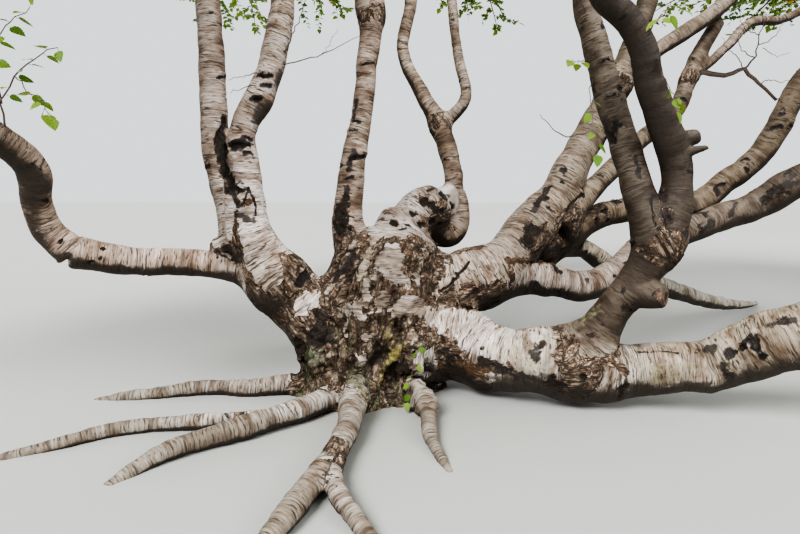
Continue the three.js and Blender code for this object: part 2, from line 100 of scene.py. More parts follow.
BOUGHS = {
    "bough_left": [
        (-60, -20, 210, 190), (-160, -30, 290, 160), (-320, -80, 430, 128), (-460, -110, 610, 110),
        (-550, -120, 830, 96), (-575, -120, 1060, 80), (-575, -105, 1270, 58), (-490, -70, 1450, 67),
        (-400, -20, 1750, 57), (-385, 10, 1980, 60), (-420, 60, 2500, 52), (-570, 160, 3300, 46),
        (-620, 250, 4200, 38), (-700, 330, 4900, 32)],
    "bough_left_outer": [
        (-600, -110, 730, 60), (-655, -118, 910, 58), (-695, -120, 1150, 56), (-722, -80, 1870, 58),
        (-850, -150, 2600, 48), (-1150, -270, 3400, 38), (-1480, -370, 4150, 28)],
    "arm_left_low": [
        (-420, -90, 540, 90), (-630, -100, 615, 66), (-1040, -220, 665, 62), (-1270, -355, 725, 68)],
    "arm_left_high": [
        (-1270, -355, 725, 68), (-1345, -400, 830, 66), (-1350, -440, 950, 64),
        (-1320, -480, 1070, 62), (-1340, -540, 1150, 60), (-1550, -770, 1335, 52),
        (-2300, -1000, 1950, 40), (-2750, -1020, 2350, 32)],
    "stem_middle": [
        (30, 60, 480, 100), (-80, 100, 740, 88), (-95, 112, 880, 72), (-60, 130, 1160, 60),
        (-20, 145, 1380, 53), (30, 190, 1950, 60), (60, 240, 2500, 46), (140, 290, 3300, 42),
        (190, 240, 4200, 36), (210, 160, 5000, 30)],
    "stem_middle_side": [
        (20, 190, 1900, 44), (-70, 110, 2180, 42), (-260, -200, 2850, 38), (-450, -620, 3450, 34),
        (-600, -950, 3950, 28)],
    "leader_broken": [
        (130, 0, 520, 160), (150, 20, 670, 135), (195, 60, 790, 112), (280, 110, 880, 104),
        (385, 155, 945, 96)],
    "crook_low": [
        (320, 140, 860, 75), (350, 152, 815, 62), (392, 170, 765, 56), (447, 190, 758, 58),
        (490, 205, 820, 60), (495, 215, 910, 56), (478, 222, 985, 50)],
    "crook_stem": [
        (478, 222, 985, 50), (460, 240, 1140, 52), (380, 280, 1370, 46), (300, 300, 1520, 38),
        (190, 340, 1760, 35), (240, 380, 2040, 34), (150, 620, 2700, 32), (60, 900, 3400, 30),
        (-20, 1150, 4050, 26)],
    "crook_stem_side": [
        (390, 280, 1350, 34), (480, 280, 1420, 32), (530, 280, 1500, 30), (500, 310, 1690, 28),
        (455, 350, 2030, 28), (520, 1000, 2700, 28), (600, 1700, 3100, 24)],
    "bough_right": [
        (170, 40, 430, 180), (390, 65, 490, 150), (550, 110, 520, 130), (720, 170, 610, 112),
        (960, 290, 865, 108), (1140, 390, 1100, 96), (1380, 520, 1490, 80), (1580, 600, 1920, 60),
        (1700, 670, 2300, 54), (1950, 740, 3100, 44), (2200, 700, 3950, 34)],
    "bough_right_outer": [
        (1440, 545, 1600, 56), (1600, 600, 1760, 46), (1830, 640, 1910, 45), (2170, 720, 2150, 44),
        (2680, 860, 2800, 38), (3000, 920, 3400, 30)],
    "bough_right_inner": [
        (1050, 320, 800, 86), (1192, 380, 915, 64), (1352, 440, 1075, 57), (1630, 560, 1320, 50),
        (1860, 640, 1480, 48), (1940, 680, 1680, 47), (2040, 730, 1870, 46), (2150, 770, 2050, 42)],
    "bough_right_inner_side": [
        (1945, 685, 1690, 36), (2060, 720, 1770, 28), (2200, 760, 1890, 26), (2370, 810, 2050, 26),
        (2620, 880, 2100, 26), (3000, 1150, 2300, 25), (3250, 1600, 2650, 22)],
    "limb_right_upper": [
        (900, 300, 700, 96), (1170, 430, 765, 80), (1400, 500, 862, 76), (1670, 580, 920, 74),
        (1960, 600, 920, 72), (2200, 600, 1085, 68), (2380, 580, 1258, 66), (2560, 530, 1680, 62),
        (2900, 480, 2000, 48), (3300, 420, 2350, 38)],
    "limb_right_middle": [
        (590, 150, 525, 100), (777, 180, 530, 90), (1006, 215, 497, 84), (1186, 250, 465, 84),
        (1333, 290, 508, 82), (1459, 330, 590, 80), (1592, 370, 675, 78), (1798, 410, 760, 76),
        (2175, 450, 888, 78), (2331, 430, 964, 84), (2459, 380, 1060, 88), (2950, 180, 1350, 66),
        (3350, -120, 1700, 46), (3600, -400, 2100, 34)],
    "limb_right_trailing": [
        (960, 320, 620, 64), (1161, 455, 668, 60), (1298, 520, 645, 60), (1418, 575, 570, 58),
        (1650, 690, 461, 58), (2099, 950, 324, 58), (2343, 1130, 241, 54), (2678, 1400, 151, 44),
        (3080, 1750, 68, 34), (3400, 2050, 22, 20)],
    "limb_low": [
        (90, -20, 300, 185), (380, -60, 235, 165), (570, -150, 195, 158), (750, -230, 185, 150),
        (930, -280, 182, 142), (1310, -360, 190, 112), (1510, -400, 220, 112), (1650, -450, 278, 120),
        (1780, -530, 368, 130), (2150, -760, 640, 96), (2650, -1050, 1150, 68),
        (2950, -1300, 1700, 52), (3080, -1520, 2200, 40)],
    "stem_right": [
        (975, -300, 220, 94), (1076, -340, 370, 82), (1200, -380, 590, 76), (1320, -400, 800, 72),
        (1360, -400, 1010, 57), (1345, -400, 1120, 58), (1310, -420, 1200, 62), (1200, -460, 1390, 54),
        (1100, -500, 1610, 51), (960, -540, 1735, 50), (760, -620, 1980, 44), (640, -720, 2500, 40),
        (650, -950, 3100, 36), (700, -1150, 3600, 30)],
    "stem_right_inner": [
        (1300, -395, 760, 64), (1240, -370, 890, 64), (1180, -320, 1120, 65), (1090, -280, 1420, 64),
        (1040, -260, 1620, 59), (980, -240, 1830, 50), (1050, -240, 2500, 44), (1300, -300, 3300, 38),
        (1500, -320, 4100, 30)],
    "bough_left_back": [
        (-420, 60, 2450, 44), (-700, 300, 2600, 38), (-1200, 650, 2750, 34), (-1750, 950, 3000, 28)],
    "bough_left_front": [
        (-845, -145, 2560, 40), (-1000, -500, 2750, 34), (-1250, -1000, 2950, 30),
        (-1500, -1450, 3150, 26)],
    "bough_front_right": [
        (640, -710, 2450, 36), (900, -1050, 2550, 34), (1300, -1450, 2750, 30),
        (1650, -1800, 2950, 26)],
    "bough_back_left": [
        (150, 620, 2700, 32), (-150, 1050, 2750, 30), (-550, 1500, 2850, 28), (-850, 1900, 3000, 24)],
}
# What each limb wears: how far up it the rough bark of the bole reaches, and its thin bark's
# colour at its foot and at its tip. Where it isn't listed it wears the last line's. The dark
# colours of stem_right and stem_right_inner, and the dark tips of arm_left_high, bough_right,
# limb_right_middle and limb_right_upper, are partly their darker bark and partly painted shade.
WEAR_AND_SHADE = {
    "bough_left": (0.34, (0.66, 0.60, 0.56), (0.24, 0.195, 0.17)),
    "bough_left_outer": (0.05, (0.34, 0.29, 0.26), (0.24, 0.205, 0.19)),
    "arm_left_low": (0.10, (0.44, 0.37, 0.32), (0.36, 0.29, 0.25)),
    "arm_left_high": (0.00, (0.36, 0.29, 0.25), (0.050, 0.042, 0.037)),
    "stem_middle": (0.34, (0.34, 0.28, 0.245), (0.24, 0.20, 0.175)),
    "leader_broken": (0.16, (0.44, 0.40, 0.38), (0.34, 0.31, 0.30)),
    "crook_low": (0.10, (0.20, 0.17, 0.145), (0.26, 0.215, 0.18)),
    "crook_stem": (0.00, (0.26, 0.215, 0.18), (0.24, 0.20, 0.17)),
    "bough_right": (0.40, (0.50, 0.43, 0.38), (0.080, 0.066, 0.052)),
    "bough_right_inner": (0.22, (0.26, 0.22, 0.18), (0.12, 0.10, 0.08)),
    "limb_right_upper": (0.20, (0.20, 0.16, 0.125), (0.13, 0.105, 0.082)),
    "limb_right_middle": (0.10, (0.48, 0.42, 0.39), (0.066, 0.053, 0.042)),
    "limb_right_trailing": (0.12, (0.42, 0.36, 0.29), (0.42, 0.40, 0.34)),
    "limb_low": (0.22, (0.68, 0.63, 0.59), (0.17, 0.14, 0.105)),
    "stem_right": (0.12, (0.085, 0.068, 0.054), (0.040, 0.034, 0.033)),
    "stem_right_inner": (0.05, (0.046, 0.038, 0.033), (0.17, 0.145, 0.125)),
    None: (0.04, (0.28, 0.235, 0.205), (0.20, 0.17, 0.15)),
}
CONTINUES = {"arm_left_high": "arm_left_low", "crook_stem": "crook_low"}


def line_through(stops, places):
    """Points of the smooth curve through the stops, as the solids' own curve runs."""
    last = len(stops) - 1
    at = places * last
    i = np.minimum(at.astype(int), last - 1)
    w = (at - i)[:, None]
    ends = np.vstack([2 * stops[0] - stops[1], stops, 2 * stops[-1] - stops[-2]])
    p0, p1, p2, p3 = (ends[i + k] for k in range(4))

    def knot(a, b):
        return np.maximum(((b - a) ** 2).sum(1), 1e-12)[:, None] ** 0.25

    d0, d1, d2 = knot(p0, p1), knot(p1, p2), knot(p2, p3)
    leave = ((p1 - p0) / d0 - (p2 - p0) / (d0 + d1) + (p2 - p1) / d1) * d1
    reach = ((p2 - p1) / d1 - (p3 - p1) / (d1 + d2) + (p3 - p2) / d2) * d1
    square = -3 * p1 + 3 * p2 - 2 * leave - reach
    return p1 + leave * w + square * w ** 2 + (2 * p1 - 2 * p2 + leave + reach) * w ** 3


DIRECTIONS = np.random.default_rng(7).normal(size=(64, 3))
DIRECTIONS /= np.linalg.norm(DIRECTIONS, axis=1)[:, None]


def noise(points, seed=0):
    """Smooth noise, about -1 to 1, one swell for each unit of length."""
    cell = np.floor(points).astype(np.int64)
    inside = points - cell
    ease = inside ** 3 * (inside * (inside * 6 - 15) + 10)
    total = np.zeros(len(points))
    for corner in np.ndindex(2, 2, 2):
        at = cell + corner
        code = at[:, 0] * 73856093 ^ at[:, 1] * 19349663 ^ at[:, 2] * 83492791 ^ seed * 2654435761
        code = (code ^ (code >> 13)) * 1274126177
        slope = DIRECTIONS[(code >> 7) & 63]
        share = np.where(corner, ease, 1 - ease).prod(1)
        total += share * ((inside - corner) * slope).sum(1)
    return 1.7 * total


def step_over(value, low, high):
    """0 below low, 1 above high, and smooth between."""
    t = np.clip((value - low) / (high - low), 0, 1)
    return t * t * (3 - 2 * t)


RING_STEP = 0.02


def lay_limb(name, course, order):
    """A limb's line, its half widths and the two directions across it, a ring every 2 cm."""
    stops = np.array(course, float) / 1000
    if name in ROOTS and name[-4:] != "fork":
        x, y, _, half = stops[0]
        stops = np.vstack([(0.5 * x, 0.5 * y, 0.20, 1.05 * half), stops])
    places = np.linspace(0, 1, 600)
    fine = line_through(stops[:, :3], places)
    run = np.concatenate([[0], np.cumsum(np.linalg.norm(np.diff(fine, axis=0), axis=1))])
    along = np.linspace(0, run[-1], max(8, int(run[-1] / RING_STEP)))
    at = np.interp(along, run, places)
    line = line_through(stops[:, :3], at)
    half = np.interp(at * (len(stops) - 1), np.arange(len(stops)), stops[:, 3])
    heading = np.gradient(line, axis=0)
    heading /= np.linalg.norm(heading, axis=1)[:, None]
    across = np.cross((0, 0, 1), heading[0])
    frames = []
    for now in heading:
        across = across - now * across.dot(now)
        across /= np.linalg.norm(across)
        frames.append(across)
    across = np.array(frames)
    aside = np.cross(heading, across)
    # A limb wanders a little round its course, swells and thins, and spreads into a collar at its
    # foot. The wandering starts and ends at nothing.
    key = np.stack([along * 0, along * 0, along], 1)
    hold = np.minimum(1, np.minimum(along, run[-1] - along) / 0.3)
    for k, direction in enumerate((across, aside)):
        stray = 0.22 * noise(key * 3.1 + order * 17, 11 + k) + 0.10 * noise(key * 8.3 + order * 17, 21 + k)
        line = line + direction * (stray * half * hold)[:, None]
    half = half * (1 + 0.07 * noise(key * 6.5 + order * 31, 31) + 0.03 * noise(key * 19 + order * 31, 32))
    if name not in CONTINUES and name not in ROOTS:
        half = half * (1 + 0.32 * np.exp(-(along / (1.7 * half[0])) ** 2))
    return dict(name=name, along=along, line=line, half=half, across=across, aside=aside, order=order)


def round_limb(limb, sides):
    """A closed tube along the limb, from a sphere whose rings are laid along its line."""
    rings = len(limb["line"]) + 1
    bpy.ops.mesh.primitive_uv_sphere_add(segments=sides, ring_count=rings)
    tube = bpy.context.object
    ball = np.zeros(len(tube.data.vertices) * 3)
    tube.data.vertices.foreach_get("co", ball)
    ball = ball.reshape(-1, 3)
    ring = np.rint(np.arccos(np.clip(ball[:, 2], -1, 1)) / math.pi * rings).astype(int)
    turn = np.arctan2(ball[:, 1], ball[:, 0])
    k = np.clip(ring - 1, 0, rings - 2)
    key = np.stack([np.cos(turn) * 0.6, np.sin(turn) * 0.6, limb["along"][k] * 4], 1)
    out = limb["half"][k] * (1 + 0.09 * noise(key + limb["order"] * 13, 41))
    out[(ring == 0) | (ring == rings)] = 0
    place = limb["line"][k] + limb["across"][k] * (out * np.cos(turn))[:, None]
    place -= limb["aside"][k] * (out * np.sin(turn))[:, None]
    tube.data.vertices.foreach_set("co", place.ravel())
    return tube


# The bole: level sections that spread into buttresses where the roots leave, and close in a rounded
# shoulder. Its flutes run up from the roots into the boughs.
BOLE_HEIGHT, BOLE_WAIST, BOLE_FLARE, FLARE_HEIGHT, BOLE_SHOULDER = 0.80, 0.285, 0.105, 0.110, 0.430
BOLE_LEAN = (0.150, 0.020)
BUTTRESSES = np.radians([-155, -114, -88, -55, -8, 36, 80, 140, 178])
BUTTRESS_SPREAD = 0.3


def bole_line(height):
    up = np.clip(height / BOLE_HEIGHT, 0, 1)
    return np.stack([BOLE_LEAN[0] * up ** 1.6, BOLE_LEAN[1] * up, height], -1)


def bole_radius(bearing, height):
    apart = bearing[:, None] - BUTTRESSES
    apart = np.arctan2(np.sin(apart), np.cos(apart))
    lobes = np.exp(-((apart / BUTTRESS_SPREAD) ** 2)).sum(1)
    spread = BOLE_FLARE * (0.55 + 0.5 * lobes) * np.exp(-height / FLARE_HEIGHT)
    above = np.maximum(0, (height - BOLE_SHOULDER) / (BOLE_HEIGHT - BOLE_SHOULDER))
    flutes = 0.016 * (lobes - 1) * np.exp(-height / 0.5)
    return (BOLE_WAIST + spread + flutes) * np.sqrt(np.maximum(0.0025, 1 - above ** 2))


BOLE_RINGS, BOLE_SIDES = 60, 96
bpy.ops.object.select_all(action="DESELECT")
bpy.ops.mesh.primitive_uv_sphere_add(segments=BOLE_SIDES, ring_count=BOLE_RINGS)
bole = bpy.context.object
ball = np.zeros(len(bole.data.vertices) * 3)
bole.data.vertices.foreach_get("co", ball)
ball = ball.reshape(-1, 3)
ring = np.rint(np.arccos(np.clip(ball[:, 2], -1, 1)) / math.pi * BOLE_RINGS).astype(int)
turn = np.arctan2(ball[:, 1], ball[:, 0])
height = BOLE_HEIGHT - (BOLE_HEIGHT + 0.08) * np.clip(ring - 1, 0, BOLE_RINGS - 2) / (BOLE_RINGS - 2)
out = bole_radius(turn, np.maximum(0, height))
out[(ring == 0) | (ring == BOLE_RINGS)] = 0
place = bole_line(np.maximum(0, height))
place[:, 2] = height
place[:, 0] += out * np.cos(turn)
place[:, 1] += out * np.sin(turn)
bole.data.vertices.foreach_set("co", place.ravel())

limbs = [lay_limb(name, course, k) for k, (name, course) in enumerate({**ROOTS, **BOUGHS}.items())]


# The skin: one closed surface over everything that lies near the ground and in the camera's view,
# and a coarser one over the upper boughs. A limb that goes on from one to the other overlaps a little.
NEAR_VOXEL, FAR_VOXEL = 0.0092, 0.016
LAP = 3


def part_of(limb, start, end):
    cut = {key: limb[key][start:end] for key in ("along", "line", "half", "across", "aside")}
    return {**limb, **cut}


# Stubs of lost branches, short and blunt: from, to and half widths there
STUBS = [
    ((1170, -370, 535), (1292, -492, 549), 0.060, 0.052),
    ((1290, -400, 1180), (1420, -420, 1215), 0.042, 0.026),
    ((1305, -400, 1130), (1440, -470, 1165), 0.030, 0.007),
    ((-700, -120, 640), (-690, -150, 765), 0.040, 0.030),
    ((400, 165, 950), (455, 190, 1010), 0.075, 0.030),
]


def stub(start, end, half_start, half_end):
    start, end = np.array(start) / 1000, np.array(end) / 1000
    axis = Vector(end - start)
    bpy.ops.mesh.primitive_cylinder_add(vertices=24, radius=half_start, depth=axis.length)
    tube = bpy.context.object
    place = np.zeros(len(tube.data.vertices) * 3)
    tube.data.vertices.foreach_get("co", place)
    place = place.reshape(-1, 3)
    place[place[:, 2] > 0, :2] *= half_end / half_start
    turned = np.array(axis.to_track_quat("Z", "Y").to_matrix())
    place = place @ turned.T + (start + end) / 2
    tube.data.vertices.foreach_set("co", place.ravel())
    return tube


near_tubes, far_tubes = [bole] + [stub(*each) for each in STUBS], []
VIEW_RISE, VIEW_SPREAD = 0.352, 0.75
LEAST_RINGS = 6
for limb in limbs:
    away = limb["line"] - camera.location
    over = away[:, 2] > 0.12 + VIEW_RISE * away[:, 1]
    outside = over | (np.abs(away[:, 0]) > 0.2 + VIEW_SPREAD * away[:, 1])
    turnover = int(np.argmax(outside)) if outside.any() else len(outside)
    if turnover > LEAST_RINGS:
        near_tubes.append(round_limb(part_of(limb, 0, turnover), 20))
    if turnover < len(outside) - LEAST_RINGS:
        far_tubes.append(round_limb(part_of(limb, max(0, turnover - LAP), None), 14))


def fuse(tubes, voxel):
    """Corners, four-sided faces and edges of one closed skin over all the tubes."""
    bpy.ops.object.select_all(action="DESELECT")
    for tube in tubes:
        tube.select_set(True)
    bpy.context.view_layer.objects.active = tubes[0]
    bpy.ops.object.join()
    skin = tubes[0].data
    skin.remesh_voxel_size = voxel
    skin.remesh_voxel_adaptivity = 0
    bpy.ops.object.voxel_remesh()
    skin = tubes[0].data
    co = np.zeros(len(skin.vertices) * 3)
    skin.vertices.foreach_get("co", co)
    quads = np.zeros(len(skin.loops), np.int64)
    skin.loops.foreach_get("vertex_index", quads)
    edges = np.zeros(len(skin.edges) * 2, np.int64)
    skin.edges.foreach_get("vertices", edges)
    bpy.data.objects.remove(tubes[0])
    return co.reshape(-1, 3), quads.reshape(-1, 4), edges.reshape(-1, 2)


def gather(values, places, count):
    """Sums of the values that share a place."""
    return np.stack([np.bincount(places, column, count) for column in values.T], 1)


def relax(co, edges, rounds, share):
    """Moves each corner towards the middle of its neighbours."""
    both = np.concatenate([edges, edges[:, ::-1]])
    beside = np.bincount(both[:, 0], minlength=len(co))[:, None]
    for _ in range(rounds):
        middle = gather(co[both[:, 1]], both[:, 0], len(co)) / beside
        co = co + (middle - co) * share
    return co


def outward(co, quads):
    """The direction out of the skin at each corner."""
    face = np.cross(co[quads[:, 2]] - co[quads[:, 0]], co[quads[:, 3]] - co[quads[:, 1]])
    total = gather(np.repeat(face, 4, axis=0), quads.ravel(), len(co))
    return total / np.maximum(np.linalg.norm(total, axis=1), 1e-12)[:, None]


FAR_OFF = 9.0
kin = {limb["name"]: CONTINUES.get(limb["name"], limb["name"]) for limb in limbs}
names = ["trunk"] + [limb["name"] for limb in limbs]
family = np.array([names.index(kin.get(name, name)) for name in names])


def read_limbs(co):
    """For each corner its own limb and the next nearest one, its place on both as (across, aside,
    along), how much nearer its own is, and the lesser half width of the two."""
    gaps = np.full((len(names), len(co)), FAR_OFF, np.float32)
    girth = np.full((len(names), len(co)), 0.25, np.float32)
    grain = np.zeros((len(names), len(co), 3), np.float32)
    off = co - bole_line(np.maximum(0, co[:, 2]))
    rho = np.hypot(off[:, 0], off[:, 1])
    bearing = np.arctan2(off[:, 1], off[:, 0])
    near_bole = np.flatnonzero((rho < 0.9) & (co[:, 2] < BOLE_HEIGHT + 0.1))
    gaps[0, near_bole] = rho[near_bole] - bole_radius(bearing[near_bole], np.maximum(0, co[near_bole, 2]))
    grain[0] = np.stack([off[:, 0], off[:, 1], co[:, 2]], 1)
    for k, limb in enumerate(limbs, 1):
        line, half = limb["line"], limb["half"]
        room = half.max() + 0.20
        inside = ((co > line.min(0) - room) & (co < line.max(0) + room)).all(1)
        for pick in np.array_split(np.flatnonzero(inside), 1 + inside.sum() // 20000):
            point = co[pick]
            square = (point ** 2).sum(1)[:, None] - 2 * point @ line.T + (line ** 2).sum(1)
            at, last = square.argmin(1), len(line) - 1
            rings = (np.clip(at + step, 0, last) for step in (-1, 0, 1))
            before, here, after = (square[np.arange(len(at)), ring] for ring in rings)
            shift = np.clip((before - after) / np.maximum(2 * (before + after - 2 * here), 1e-9), -0.5, 0.5)
            spot = np.clip(at + shift, 0, last)
            low = np.minimum(spot.astype(int), last - 1)
            w = (spot - low)[:, None]
            middle, across, aside = (
                limb[key][low] * (1 - w) + limb[key][low + 1] * w for key in ("line", "across", "aside"))
            off = point - middle
            girth[k, pick] = np.interp(spot, np.arange(last + 1), half)
            gaps[k, pick] = np.linalg.norm(off, axis=1) - girth[k, pick]
            grain[k, pick, 0] = (off * across).sum(1)
            grain[k, pick, 1] = (off * aside).sum(1)
            grain[k, pick, 2] = np.interp(spot, np.arange(last + 1), limb["along"])
    everyone = np.arange(len(co))
    owner = gaps.argmin(0)
    own_gap, place, own_girth = gaps[owner, everyone], grain[owner, everyone], girth[owner, everyone]
    gaps[family[:, None] == family[owner]] = FAR_OFF
    other = gaps.argmin(0)
    lesser = np.minimum(own_girth, girth[other, everyone])
    return owner, place, other, grain[other, everyone], gaps.min(0) - own_gap, lesser


lengths = {limb["name"]: limb["along"][-1] for limb in limbs}
wear_and_shade = [WEAR_AND_SHADE.get(name, WEAR_AND_SHADE[None]) for name in names]
rough_run = np.array([0.1] + [max(0.001, w[0]) for w in wear_and_shade[1:]])
foot_tone = np.array([w[1] for w in wear_and_shade])
tip_tone = np.array([w[2] for w in wear_and_shade])
goes_on = np.array([0.0] + [lengths.get(CONTINUES.get(name), 0.0) for name in names[1:]])
is_root = np.array([name in ROOTS for name in names])
foot_tone[0] = (0.50, 0.44, 0.37)
foot_tone[is_root] = (0.52, 0.485, 0.46)
tip_tone[is_root] = (0.22, 0.20, 0.18)
rough_run[is_root] = 0.25
ring_share = np.where(is_root, 1.0, 0.0)
for name, share in (("bough_right", 0.55), ("limb_low", 0.45), ("bough_left", 0.30),
                    ("limb_right_middle", 0.35)):
    ring_share[names.index(name)] = share
whole_length = np.array([1.0] + [lengths[name] for name in names[1:]])

# The marks of age: what each kind does to the height of the bark as a share of the mark's own half
# width, to where the pale bark lies, and to the colour and how strongly. The dark colour of a hollow
# and of a valley is painted shade in the sunken bark.
KINDS = {
    "hollow": (-0.42, -0.9, (0.020, 0.016, 0.013), 0.9), "dark": (-0.10, -0.55, (0.026, 0.019, 0.016), 0.75),
    "scar": (-0.25, -0.5, (0.012, 0.009, 0.008), 1.0), "crack": (-0.80, -0.6, (0.014, 0.010, 0.009), 1.0),
    "lip": (0.75, 0.3, (0.40, 0.34, 0.30), 0.2), "ridge": (0.70, 0.0, (0.10, 0.08, 0.06), 0.0),
    "swell": (0.50, 0.0, (0.10, 0.08, 0.06), 0.0), "valley": (-0.65, -0.3, (0.030, 0.024, 0.019), 0.45),
    "cut": (0.0, -1.5, (0.15, 0.10, 0.07), 0.95), "pith": (-0.25, -1.5, (0.030, 0.016, 0.011), 1.0),
    "twist": (0.75, -1.0, (0.12, 0.07, 0.05), 0.65), "pale": (0.04, 0.62, (0.62, 0.56, 0.49), 0.0),
    "cream": (0.02, 0.62, (0.42, 0.38, 0.26), 0.45), "green": (0.0, 0.3, (0.30, 0.29, 0.17), 0.42),
    "rough": (0.0, -1.0, (0.10, 0.07, 0.055), 0.0), "speckle": (0.10, 0.42, (0.34, 0.28, 0.24), 0.25),
    "ochre": (0.05, -0.2, (0.34, 0.29, 0.11), 0.55), "orange": (0.0, -0.5, (0.11, 0.058, 0.028), 0.62),
    "moss": (0.05, -0.9, (0.050, 0.062, 0.026), 0.60), "lichen": (0.06, -0.6, (0.20, 0.215, 0.15), 0.50),
    "grey": (0.0, 0.0, (0.20, 0.16, 0.145), 0.5),
}
